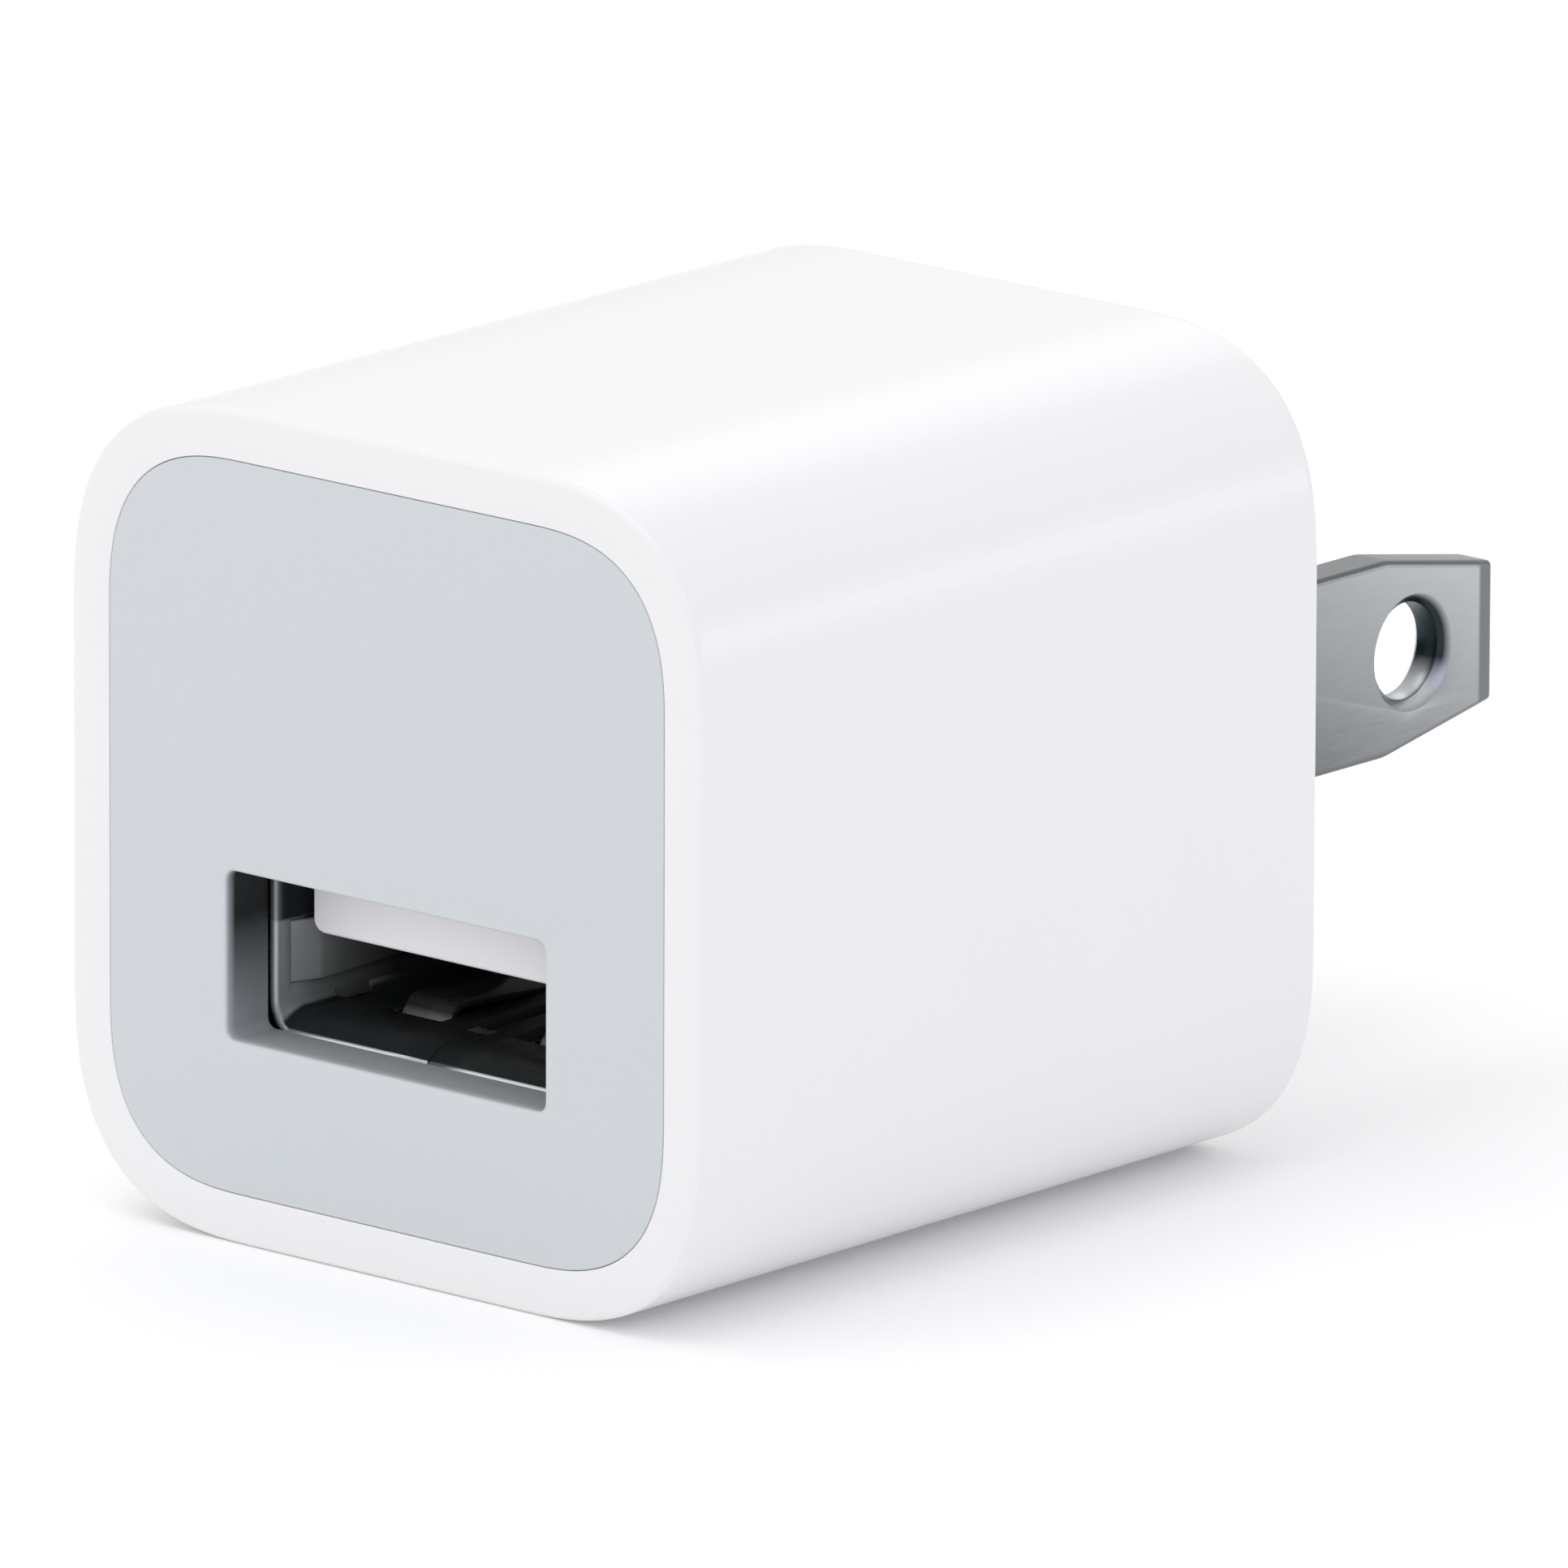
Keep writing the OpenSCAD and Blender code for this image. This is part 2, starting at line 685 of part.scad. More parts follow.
// A ring round the bobbin's tube: outer and inner are [width, depth, corner radius]
module winding_ring(outer, inner) {
    translate([transformer_at[0], transformer_at[1], winding_bottom + 0.02])
        linear_extrude(winding_top - winding_bottom - 0.04) difference() {
            rounded_rect(outer[0], outer[1], outer[2]);
            rounded_rect(inner[0], inner[1], inner[2]);
        }
}

module transformer_winding() {
    color([0.72, 0.36, 0.16]) winding_ring([8, 10, 2], [tube_w + 0.04, tube_d + 0.04, 0.05]);
}

module transformer_tape() {
    color([0.95, 0.8, 0.2]) winding_ring([8.6, 10.8, 2.4], [8.04, 10.04, 2.02]);
}

// Electrolytic can with a crimp groove near its sealed end, axis up, sealed end at the top
module can(d, h) {
    edge = 0.3;
    groove = 0.25;
    rotate_extrude() difference() {
        union() {
            square([d / 2 - edge, h]);
            translate([0, edge]) square([d / 2, h - 2 * edge]);
            translate([d / 2 - edge, edge]) circle(edge);
            translate([d / 2 - edge, h - edge]) circle(edge);
        }
        translate([-2, -1]) square([2, h + 2]);
        translate([d / 2 + groove, h - 1.5]) circle(2 * groove);
    }
}

module hanging_can(at, d, h, leads) {
    translate([at[0], at[1], main_board_bottom - 0.4 - h]) can(d, h);
    for (lead = leads) post(lead_d, lead, main_board_bottom - 0.6, main_board_top + lead_above);
}

module input_capacitor_rear() {
    color([0.13, 0.17, 0.3]) hanging_can(rear_cap_at, tall_cap_d, tall_cap_h, rear_cap_leads);
}

module input_capacitor_corner() {
    color([0.13, 0.17, 0.3]) hanging_can(corner_cap_at, tall_cap_d, tall_cap_h, corner_cap_leads);
}

// Lies along the depth, so its leads turn up to the board
module input_capacitor_round() {
    end_y = round_cap_at[1] + round_cap_len / 2;
    color([0.13, 0.17, 0.3]) {
        translate([round_cap_at[0], end_y - round_cap_len, round_cap_z]) rotate([-90, 0, 0])
            can(round_cap_d, round_cap_len);
        for (lead = round_cap_leads) {
            post(lead_d, lead, round_cap_z - lead_d / 2, main_board_top + lead_above);
            translate([lead[0], end_y - 0.2, round_cap_z]) rotate([-90, 0, 0])
                cylinder(d = lead_d, h = lead[1] - end_y + 0.2);
        }
    }
}

module standing_can(at, d, h, leads) {
    translate([at[0], at[1], output_board_top + 0.1 + h]) mirror([0, 0, 1]) can(d, h);
    for (lead = leads) post(lead_d, lead, output_board_bottom - lead_above, output_board_top + 0.4);
}

module output_capacitor_large() {
    color([0.75, 0.76, 0.78])
        standing_can(large_out_cap_at, large_out_cap_d, large_out_cap_h, large_out_leads);
}

module output_capacitor_small() {
    color([0.75, 0.76, 0.78])
        standing_can(small_out_cap_at, small_out_cap_d, small_out_cap_h, small_out_leads);
}

// Choke: a drum in a shrink sleeve
module filter_inductor() {
    color([0.1, 0.25, 0.14]) {
        translate([inductor_at[0], inductor_at[1], main_board_bottom - 0.5 - inductor_len])
            can(inductor_d, inductor_len);
        for (lead = inductor_leads)
            post(lead_d, lead, main_board_bottom - 0.8, main_board_top + lead_above);
    }
}

// Resistor body with fat ends, standing under its lead
module fusible_resistor() {
    end_len = 1.4;
    bottom = main_board_bottom - 0.9 - resistor_len;
    color([0.35, 0.55, 0.5]) {
        post(resistor_d * 0.84, resistor_at, bottom, bottom + resistor_len);
        post(resistor_d, resistor_at, bottom, bottom + end_len);
        post(resistor_d, resistor_at, bottom + resistor_len - end_len, bottom + resistor_len);
        post(lead_d, resistor_lead, bottom + resistor_len - 0.2, main_board_top + lead_above);
    }
}

// Disc capacitor that bridges the insulation
module safety_capacitor() {
    color([0.1, 0.35, 0.7]) {
        translate([disc_at[0], disc_at[1], disc_z]) rotate([90, 0, 0]) {
            cylinder(d = disc_d - 0.8, h = disc_t, center = true);
            cylinder(d = disc_d, h = disc_t - 0.9, center = true);
        }
        for (lead = disc_leads) post(lead_d, lead, disc_z, main_board_top + lead_above);
    }
}

module switch_transistor() {
    top = main_board_bottom - 1.4;
    color([0.14, 0.14, 0.15]) {
        difference() {
            block(transistor_size, [transistor_at[0], transistor_at[1], top - transistor_size[2] / 2]);
            translate([transistor_at[0], transistor_at[1], top - transistor_size[2] + 2]) rotate([90, 0, 0])
                cylinder(d = transistor_hole_d, h = 3 * transistor_size[1], center = true);
        }
        for (lead = transistor_leads) post(lead_d, lead, top - 0.5, main_board_top + lead_above);
    }
}

// A chip body at [x, y] on a face at z, with n gull-wing legs along each of its Y sides
module chip(size, at, z, n, dir) {
    leg = 0.9;
    pitch = size[0] / n;
    block(size, [at[0], at[1], z + dir * (0.08 + size[2] / 2)]);
    for (side = [-1, 1], i = [0:n - 1]) translate([at[0] - size[0] / 2 + pitch * (i + 0.5), at[1], z]) {
        block([pitch * 0.4, leg + 0.2, 0.18], [0, side * (size[1] / 2 + leg / 2 - 0.1), dir * 0.09]);
        block([pitch * 0.4, 0.18, 0.7], [0, side * (size[1] / 2 + 0.08), dir * 0.35]);
    }
}

module bridge_rectifier() {
    color([0.13, 0.13, 0.14]) chip(bridge_size, bridge_at, main_board_top, 2, 1);
}

module controller_chip() {
    color([0.12, 0.12, 0.13]) chip(controller_size, controller_at, main_board_top, 4, 1);
}

module optocoupler() {
    color([0.12, 0.12, 0.13]) chip(optocoupler_size, optocoupler_at, main_board_top, 2, 1);
}

module output_diode() {
    color([0.12, 0.12, 0.13]) chip(diode_size, diode_at, output_board_bottom, 1, -1);
}

// Square wound inductor in a ferrite block, under the output board
module output_inductor() {
    groove_depth = 0.5;
    color([0.3, 0.3, 0.32]) difference() {
        block(coil_size, [coil_at[0], coil_at[1], output_board_bottom - coil_size[2] / 2]);
        translate([coil_at[0], coil_at[1], output_board_bottom - coil_size[2] + groove_depth])
            mirror([0, 0, 1]) difference() {
                cylinder(d = coil_size[0] - 0.8, h = 1);
                translate([0, 0, -1]) cylinder(d = coil_size[0] - 2.4, h = 3);
            }
    }
}

// Rows of chip resistors and capacitors
module main_board_chip_parts() {
    color([0.55, 0.42, 0.28]) {
        for (i = [0:4]) block(chip_part, [-8 + i * 2, -12.4, main_board_top + chip_part[2] / 2]);
        for (i = [0:3]) block(chip_part, [3.2 + i * 1.8, -23.8, main_board_top + chip_part[2] / 2]);
        for (i = [0:1]) block(chip_part_across, [-3.2 + i * 2.6, -7.4, main_board_top + chip_part[2] / 2]);
    }
}

module output_board_chip_parts() {
    color([0.55, 0.42, 0.28]) {
        for (i = [0:4]) block(chip_part, [-4 + i * 2, -13, output_board_bottom - chip_part[2] / 2]);
        for (i = [0:3]) block(chip_part_across, [0.3, -17 - i * 2, output_board_bottom - chip_part[2] / 2]);
        block(fuse_size, [0, -9.4, output_board_bottom - fuse_size[2] / 2]);
    }
}

outer_shell();
end_plate();
blade_left();
blade_right();
blade_holder();
contact_strip_left();
contact_strip_right();
usb_shield();
usb_insulator();
contact_leads();
usb_contact_1();
usb_contact_2();
usb_contact_3();
usb_contact_4();
shield_finger_roof_left();
shield_finger_roof_right();
shield_finger_floor_left();
shield_finger_floor_right();
shield_finger_side_left();
shield_finger_side_right();
main_board();
output_board();
link_header();
link_pins();
barrier_sheet();
transformer_core();
transformer_bobbin();
transformer_pins();
transformer_winding();
transformer_tape();
input_capacitor_round();
input_capacitor_rear();
input_capacitor_corner();
output_capacitor_large();
output_capacitor_small();
filter_inductor();
fusible_resistor();
safety_capacitor();
switch_transistor();
bridge_rectifier();
controller_chip();
optocoupler();
output_diode();
output_inductor();
main_board_chip_parts();
output_board_chip_parts();
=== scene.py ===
import math

import bmesh
import bpy
import numpy as np
from mathutils import Matrix, Vector
from mathutils.geometry import tessellate_polygon


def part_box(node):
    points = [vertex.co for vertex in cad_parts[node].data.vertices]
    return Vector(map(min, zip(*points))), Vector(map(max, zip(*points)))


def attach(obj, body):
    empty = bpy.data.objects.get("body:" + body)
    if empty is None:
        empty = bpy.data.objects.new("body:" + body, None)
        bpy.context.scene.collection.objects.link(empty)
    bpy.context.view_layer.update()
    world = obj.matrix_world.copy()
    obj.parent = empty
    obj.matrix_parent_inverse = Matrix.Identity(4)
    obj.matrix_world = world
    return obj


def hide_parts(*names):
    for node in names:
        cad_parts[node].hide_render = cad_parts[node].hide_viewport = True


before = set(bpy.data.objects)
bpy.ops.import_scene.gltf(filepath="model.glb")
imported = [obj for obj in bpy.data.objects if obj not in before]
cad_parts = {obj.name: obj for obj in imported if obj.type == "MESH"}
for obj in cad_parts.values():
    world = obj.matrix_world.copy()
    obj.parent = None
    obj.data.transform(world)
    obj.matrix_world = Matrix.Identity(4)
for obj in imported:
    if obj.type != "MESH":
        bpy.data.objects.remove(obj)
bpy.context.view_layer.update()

mm = 0.001  # shapes are worked out in millimetres and become metres when a mesh is made


def boxOf(node):
    # lowest corner, highest corner and middle of a CAD node, in millimetres
    low, high = (np.array(corner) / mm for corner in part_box(node))
    return low, high, (low + high) / 2


shellLow, shellHigh, shellMiddle = boxOf("outer_shell")
frontY, backY = shellLow[1], shellHigh[1]
print("frame loaded:", len(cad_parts), "nodes, casing", np.round(shellHigh - shellLow, 2), "mm")


# outlines in a plane, counterclockwise

def roundedOutline(width, height, r, power=2.0, steps=6, centre=(0, 0)):
    # each corner runs along r * (cos(a) ^ (2/power), sin(a) ^ (2/power)), with a from 0 to 90 degrees
    a = np.linspace(0, math.pi / 2, steps + 1)
    c, s = np.abs(np.cos(a)) ** (2 / power), np.abs(np.sin(a)) ** (2 / power)
    x, y = width / 2 - r, height / 2 - r
    corners = [(x + r * c, y + r * s), (-x - r * s, y + r * c), (-x - r * c, -y - r * s),
               (x + r * s, -y - r * c)]
    return np.concatenate([np.stack(corner, 1) for corner in corners]) + centre


def circleOutline(r, centre=(0, 0), steps=24):
    # r * (cos(a), sin(a)) about the centre
    a = np.arange(steps) * 2 * math.pi / steps
    return np.stack([centre[0] + r * np.cos(a), centre[1] + r * np.sin(a)], 1)


def bentPath(corners, r, steps=5, closed=True):
    # each corner becomes an arc that touches both its sides: centre = corner + bisector * r / sin(half
    # angle)
    corners = np.array(corners, float)
    radii = np.broadcast_to(r, len(corners))
    out = []
    for i, corner in enumerate(corners):
        before, after = corners[i - 1] - corner, corners[(i + 1) % len(corners)] - corner
        if radii[i] <= 0 or (not closed and i in (0, len(corners) - 1)):
            out.append(corner[None])
            continue
        u, v = before / np.linalg.norm(before), after / np.linalg.norm(after)
        half = math.acos(np.clip(u @ v, -1, 1)) / 2
        arc = min(radii[i], 0.48 * min(np.linalg.norm(before), np.linalg.norm(after)) * math.tan(half))
        centre = corner + (u + v) / np.linalg.norm(u + v) * arc / math.sin(half)
        first, last = corner + u * arc / math.tan(half) - centre, corner + v * arc / math.tan(half) - centre
        turn = math.atan2(first[0] * last[1] - first[1] * last[0], first @ last)
        a = math.atan2(first[1], first[0]) + np.linspace(0, turn, steps + 1)
        out.append(centre + arc * np.stack([np.cos(a), np.sin(a)], 1))
    return np.concatenate(out)


def shrunk(points, inset):
    # each point moves inwards by the inset, along the mitre of its two sides
    side = np.roll(points, -1, 0) - points
    side = side / np.linalg.norm(side, axis=1)[:, None]
    normal = np.stack([-side[:, 1], side[:, 0]], 1)
    before = np.roll(normal, 1, 0)
    return points + inset * (normal + before) / (1 + (normal * before).sum(1))[:, None]


def softSide(thickness, r, farR=None, steps=4):
    # (inset, height) up a side: r * (1 - sin(a)), r * (1 - cos(a)) at its first edge, and the same at the
    # far one
    a = np.linspace(0, math.pi / 2, steps + 1)
    arc = np.stack([1 - np.sin(a), 1 - np.cos(a)], 1)
    near = np.concatenate([arc * r, [[0, r + 0.02]]])
    far = np.concatenate([arc * (r if farR is None else farR), [[0, (r if farR is None else farR) + 0.02]]])
    return np.concatenate([near, (far * [1, -1] + [0, thickness])[::-1]])


nearSteps = 6  # the steps of softSide that belong to its first edge
tiny = 1e-6


def mirrored(outline):
    return outline[::-1] * [-1, 1]


axesXY = ((1, 0, 0), (0, 1, 0), (0, 0, 1))
axesXZ = ((1, 0, 0), (0, 0, 1), (0, 1, 0))
axesYZ = ((0, 1, 0), (0, 0, 1), (1, 0, 0))


class Form:
    # the surfaces of one piece, in millimetres

    def __init__(self):
        self.points, self.faces, self.smooth, self.count = [], [], [], 0

    def add(self, points, faces, smooth=True):
        self.points.append(np.asarray(points, float))
        self.faces += (np.asarray(faces) + self.count).tolist()
        self.smooth += [smooth] * len(faces)
        self.count += len(points)

    def loft(self, rings, keep=None):
        # quads between neighbouring rings that all have the same number of points; keep marks the quads
        # to make
        rings = np.asarray(rings, float)
        i = np.arange(len(rings) - 1)[:, None] * rings.shape[1]
        j = np.arange(rings.shape[1])[None]
        k = (j + 1) % rings.shape[1]
        quads = np.stack([i + j, i + k, i + rings.shape[1] + k, i + rings.shape[1] + j], -1)
        self.add(rings.reshape(-1, 3), quads.reshape(-1, 4) if keep is None else quads[keep])

    def cap(self, *loops):
        # flat face inside the first loop and outside the others
        self.add(np.concatenate(loops), tessellate_polygon([loop.tolist() for loop in loops]), False)

    def slab(self, outline, side, axes, origin, holes=()):
        # the outline in the plane of the first two axes, its side along the third; holes are (outline,
        # side)
        axes, origin = np.array(axes, float), np.array(origin, float)
        walls = []
        for shape, steps, sign in [(outline, side, 1)] + [(hole, wall, -1) for hole, wall in holes]:
            walls.append([np.column_stack([shrunk(shape, sign * inset), np.full(len(shape), height)]) @ axes
                          + origin
                          for inset, height in steps])
            self.loft(walls[-1])
        self.cap(*[wall[0] for wall in walls])
        self.cap(*[wall[-1] for wall in walls])

    def turned(self, profile, centre, axes=axesXY, steps=36):
        # (radius, height) turned about the third axis; radius 0 closes an end
        around = circleOutline(1, steps=steps)
        self.loft([np.column_stack([around * r, np.full(steps, height)]) @ np.array(axes, float) + centre
                   for r, height in profile])

    def strip(self, path, width, thickness, axes, origin, edge=0.04):
        # a rounded rectangle carried along a path in the plane of the first two axes
        path = np.array(path, float)
        along = np.gradient(path, axis=0)
        along = along / np.linalg.norm(along, axis=1)[:, None]
        across = np.stack([-along[:, 1], along[:, 0]], 1)
        section = roundedOutline(width, thickness, edge, steps=2)
        flat = path[:, None] + across[:, None] * section[None, :, 1:]
        rings = np.concatenate([flat, np.broadcast_to(section[None, :, :1], (*flat.shape[:2], 1))], 2)
        rings = rings @ np.array(axes, float) + origin
        self.loft(rings)
        self.cap(rings[0])
        self.cap(rings[-1])

    def rod(self, d, start, end, edge=0.08, steps=16):
        # a straight round lead with softened ends
        start, end = np.array(start, float), np.array(end, float)
        length = np.linalg.norm(end - start)
        third = (end - start) / length
        first = np.cross(third, (0.3, 0.5, 0.8) if abs(third[2]) < 0.9 else (1, 0, 0))
        first /= np.linalg.norm(first)
        r = d / 2
        self.turned([(0, 0), (r - edge, 0), (r, edge), (r, length - edge), (r - edge, length), (0, length)],
                    start, (first, np.cross(third, first), third), steps)

    def piece(self, name, material, slot, body="charger", nodes=(), sharp=38):
        mesh = bpy.data.meshes.new(name)
        mesh.from_pydata((np.concatenate(self.points) * mm).tolist(), [], self.faces)
        mesh.polygons.foreach_set("use_smooth", self.smooth)
        work = bmesh.new()
        work.from_mesh(mesh)
        bmesh.ops.remove_doubles(work, verts=work.verts, dist=2e-7)
        bmesh.ops.dissolve_degenerate(work, edges=work.edges, dist=1e-8)
        bmesh.ops.recalc_face_normals(work, faces=work.faces)
        work.to_mesh(mesh)
        work.free()
        mesh.set_sharp_from_angle(angle=math.radians(sharp))
        mesh.materials.append(material)
        piece = bpy.data.objects.new(name, mesh)
        bpy.context.scene.collection.objects.link(piece)
        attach(piece, body)
        if nodes:
            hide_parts(*nodes)
        return piece


class Value:
    # a node socket; arithmetic on it adds Math nodes

    def __init__(self, paint, socket):
        self.paint, self.socket = paint, socket

    def __add__(self, other):
        return self.paint.sum("ADD", self, other)

    def __sub__(self, other):
        return self.paint.sum("SUBTRACT", self, other)

    def __rsub__(self, other):
        return self.paint.sum("SUBTRACT", other, self)

    def __mul__(self, other):
        return self.paint.sum("MULTIPLY", self, other)

    __radd__, __rmul__ = __add__, __mul__


class Paint:
    # one material: a Principled shader and the nodes that feed it

    def __init__(self, name, **constants):
        self.material = bpy.data.materials.new(name)
        self.material.use_nodes = True
        self.tree = self.material.node_tree
        self.shader = self.tree.nodes["Principled BSDF"]
        for socket, value in constants.items():
            self.shader.inputs[socket.replace("_", " ")].default_value = value

    def node(self, kind, settings=None, inputs=None, output=0):
        made = self.tree.nodes.new(kind)
        for key, value in (settings or {}).items():
            setattr(made, key, value)
        for key, value in (inputs or {}).items():
            if isinstance(value, Value):
                self.tree.links.new(value.socket, made.inputs[key])
            else:
                made.inputs[key].default_value = value
        return Value(self, made.outputs[output])

    def sum(self, operation, a, b=0.0):
        return self.node("ShaderNodeMath", {"operation": operation}, {0: a, 1: b})

    def place(self, stretch=(1, 1, 1), shift=(0, 0, 0)):
        # object coordinates in millimetres, stretched and shifted along each axis
        where = self.node("ShaderNodeTexCoord", {}, {}, "Object")
        return self.node("ShaderNodeMapping", {}, {"Vector": where, "Location": shift,
                                                   "Scale": tuple(s / mm for s in stretch)})

    def axis(self, letter):
        # one object coordinate, in millimetres
        return self.node("ShaderNodeSeparateXYZ", {}, {"Vector": self.place()}, letter)

    def noise(self, perMm, stretch=(1, 1, 1), detail=3.0, roughness=0.5):
        return self.node("ShaderNodeTexNoise", {}, {"Vector": self.place(stretch), "Scale": perMm,
                                                    "Detail": detail, "Roughness": roughness})

    def range(self, value, low, high):
        # 0 where the value is low, 1 where it is high, and a straight run between
        return self.node("ShaderNodeMapRange", {"clamp": True},
                         {"Value": value, "From Min": low, "From Max": high})

    def size(self, value):
        # a value without its sign
        return self.sum("ABSOLUTE", value)

    def mix(self, factor, a, b):
        # a mix of two colours; the colour sockets of the Mix node are 6 and 7, and its result is 2
        return self.node("ShaderNodeMix", {"data_type": "RGBA"},
                         {0: factor, 6: (*a, 1) if isinstance(a, tuple) else a,
                          7: (*b, 1) if isinstance(b, tuple) else b}, 2)

    def feed(self, **sockets):
        for socket, value in sockets.items():
            self.tree.links.new(value.socket, self.shader.inputs[socket.replace("_", " ")])

    def finished(self, height, depth, strength=1.0):
        # height from 0 to 1 stands for the depth in millimetres
        self.feed(Normal=self.node("ShaderNodeBump", {}, {"Height": height, "Distance": depth * mm,
                                                          "Strength": strength}))
        return self.material


def shade(colour, amount):
    # a colour made darker or lighter by a share
    return tuple(min(1, channel * (1 + amount)) for channel in colour)


blade = {"pitch": 12.7, "z": 0.15, "width": 6.55, "thickness": 1.5, "length": 15.9, "taperStart": 10.6,
         "tipWidth": 4.6,
         "tipR": 0.2, "tail": 5.1, "earWidth": 7.8, "earFrom": -4.4, "earLength": 1.0, "edge": 0.2,
         "holeD": 3.2, "holeY": 11.9, "chamfer": 0.35}
socket = {"front": boxOf("usb_shield")[0][1], "z": -3.8, "width": 12.5, "height": 5.12, "sheet": 0.3,
          "length": 13.6, "cornerR": 0.45, "lipLength": 1.0, "lipRise": 0.53, "sideRise": 0.15,
          "roofLip": 5.8,
          "seam": 0.05, "slotHalf": 4.3, "slotFrom": 12.0, "legs": (3.4, 9.6), "legLength": 1.6,
          "legBottom": -9.2}
tongue = {"width": 11.1, "thickness": 1.84, "from": 0.75, "blockFrom": 10.5, "blockTo": 12.4, "cornerR": 0.45,
          "frontEdge": 0.14, "grooveFrom": 1.35, "grooveDepth": 0.95, "grooveWidth": 1.4}
contact = {"x": (-3.5, -1.0, 1.0, 3.5), "width": 1.0, "thickness": 0.25, "rootS": 10.0, "kneeS": 2.9,
           "kneeZ": -4.3, "tipS": 1.9, "legWidth": 0.6}
finger = {"width": 2.0, "thickness": 0.24, "gap": 0.15, "sideGap": 0.04, "rootClear": 0.17, "x": 2.9,
          "sideDrop": 0.7,
          "roof": (2.7, 3.9, 9.0, 0.28), "floor": (2.7, 3.9, 9.0, 0.38), "side": (0.6, 1.9, 8.0, 0.34)}


# finishes

def whitePlastic(name, colour, roughness, grain):
    # colour: slow mottling of about 2%; roughness: base +- 0.03; bump: fine moulding grain over a slow
    # ripple
    paint = Paint(name, IOR=1.5)
    slow, fine = paint.noise(0.12, detail=2.0), paint.noise(grain["perMm"], detail=4.0, roughness=0.6)
    paint.feed(Base_Color=paint.mix(slow, shade(colour, -0.012), shade(colour, 0.006)),
               Roughness=fine * 0.06 + (roughness - 0.03))
    return paint.finished(fine * grain["fine"] + slow * (1 - grain["fine"]), grain["depth"])


def metalSheet(name, colour, roughness, along, scratch=0.0015):
    # colour and roughness vary with streaks drawn out along one axis, and with slow clouds; bump: the
    # streaks
    paint = Paint(name, Metallic=1.0)
    stretch = tuple(0.08 if i == along else 1.0 for i in range(3))
    streaks, clouds = paint.noise(9.0, stretch, 5.0, 0.65), paint.noise(0.5)
    paint.feed(Base_Color=paint.mix(streaks * 0.6 + clouds * 0.4, shade(colour, -0.1), shade(colour, 0.08)),
               Roughness=streaks * 0.08 + clouds * 0.04 + (roughness - 0.06))
    return paint.finished(streaks, scratch)


def moulding(name, colour, roughness, perMm=5.0, depth=0.004):
    # colour: fine grain, base +- 8%; roughness: base +- 0.05; bump: the grain
    paint = Paint(name)
    grain = paint.noise(perMm, detail=4.0, roughness=0.6)
    paint.feed(Base_Color=paint.mix(grain, shade(colour, -0.08), shade(colour, 0.08)),
               Roughness=grain * 0.1 + (roughness - 0.05))
    return paint.finished(grain, depth)


def plateGrey():
    # colour: fine grain of about 3%; behind the front face, on the cut-out's walls, it gives way to painted
    # shade, a grey that darkens upwards; roughness: base +- 0.03; bump: the grain
    paint = Paint("plateGrey")
    fine = paint.noise(7.0, detail=4.0, roughness=0.6)
    colour = paint.mix(fine, (0.595, 0.628, 0.652), (0.615, 0.648, 0.672))
    # painted shade on the cut-out's walls behind the front face, from light at its floor to dark at its roof
    depth = paint.range(paint.axis("Y"), frontY + 0.02, frontY + 0.45)
    height = paint.range(paint.axis("Z"), -7.1, -3.0)
    shadow = paint.mix(height, (0.40, 0.425, 0.44), (0.008, 0.012, 0.013))
    paint.feed(Base_Color=paint.mix(depth, colour, shadow), Roughness=fine * 0.06 + 0.47)
    return paint.finished(fine, 0.006)


def socketTin():
    # drawing streaks along the depth; the inner faces of the sheet get painted shade, dark and dull, save a
    # painted lit patch on the lower part of the side walls, and the outer faces keep the tin's colour, with a
    # painted highlight on the cut edge at the mouth and a painted glint at the floor's seam. The inner faces
    # end at half the size plus the flare, rise * (1 - s) ^ 1.4
    paint = Paint("shieldTin", Specular_IOR_Level=0.15)
    streaks = paint.noise(8.0, (1, 0.08, 1), 5.0, 0.65)
    y, front = paint.axis("Y"), socket["front"]
    flare = paint.sum("POWER", paint.range(y, front + socket["lipLength"], front), 1.4) * socket["lipRise"]
    half = (socket["width"] / 2 + 0.1, socket["height"] / 2 + 0.1)
    outX = paint.range(paint.size(paint.axis("X")), half[0], half[0] + 0.05)
    outZ = paint.range(paint.size(paint.axis("Z") - socket["z"]) - flare, half[1], half[1] + 0.05)
    # painted highlight along the cut edge at the mouth, kept faint on the side walls
    edge = paint.range(y, front + 0.05, front + 0.02) * paint.range(paint.size(paint.axis("X")), 6.3, 5.9)
    # painted glint at the latch on the floor's seam
    latchGlint = paint.range(paint.size(paint.axis("X")), 0.46, 0.38) * paint.range(y, front + 2.3, front + 2.35)
    latchGlint = latchGlint * paint.range(y, front + 2.85, front + 2.8) * paint.range(paint.axis("Z"), -6.2, -6.3)
    bright = paint.sum("MAXIMUM", paint.sum("MAXIMUM", outX * 0.45, outZ), paint.sum("MAXIMUM", edge, latchGlint))
    # painted shade: the inner faces of the sheet are dark
    inside = paint.mix(streaks, (0.018, 0.022, 0.024), (0.036, 0.042, 0.045))
    # painted light: a lit patch on the lower part of the side walls, fading deeper into the socket
    lit = paint.range(paint.size(paint.axis("X")), socket["width"] / 2 - 0.15, socket["width"] / 2 - 0.05)
    lit = lit * paint.range(paint.axis("Z"), socket["z"] + 0.42, socket["z"] + 0.32)
    inside = paint.mix(lit * paint.range(y, front + 5.5, front + 0.8), inside, (0.34, 0.362, 0.37))
    outside = paint.mix(streaks, (0.52, 0.53, 0.54), (0.64, 0.65, 0.66))
    paint.feed(Base_Color=paint.mix(bright, inside, outside), Metallic=bright * 0.8 + 0.2,
               Roughness=streaks * 0.1 + 0.28)
    return paint.finished(streaks, 0.0015)


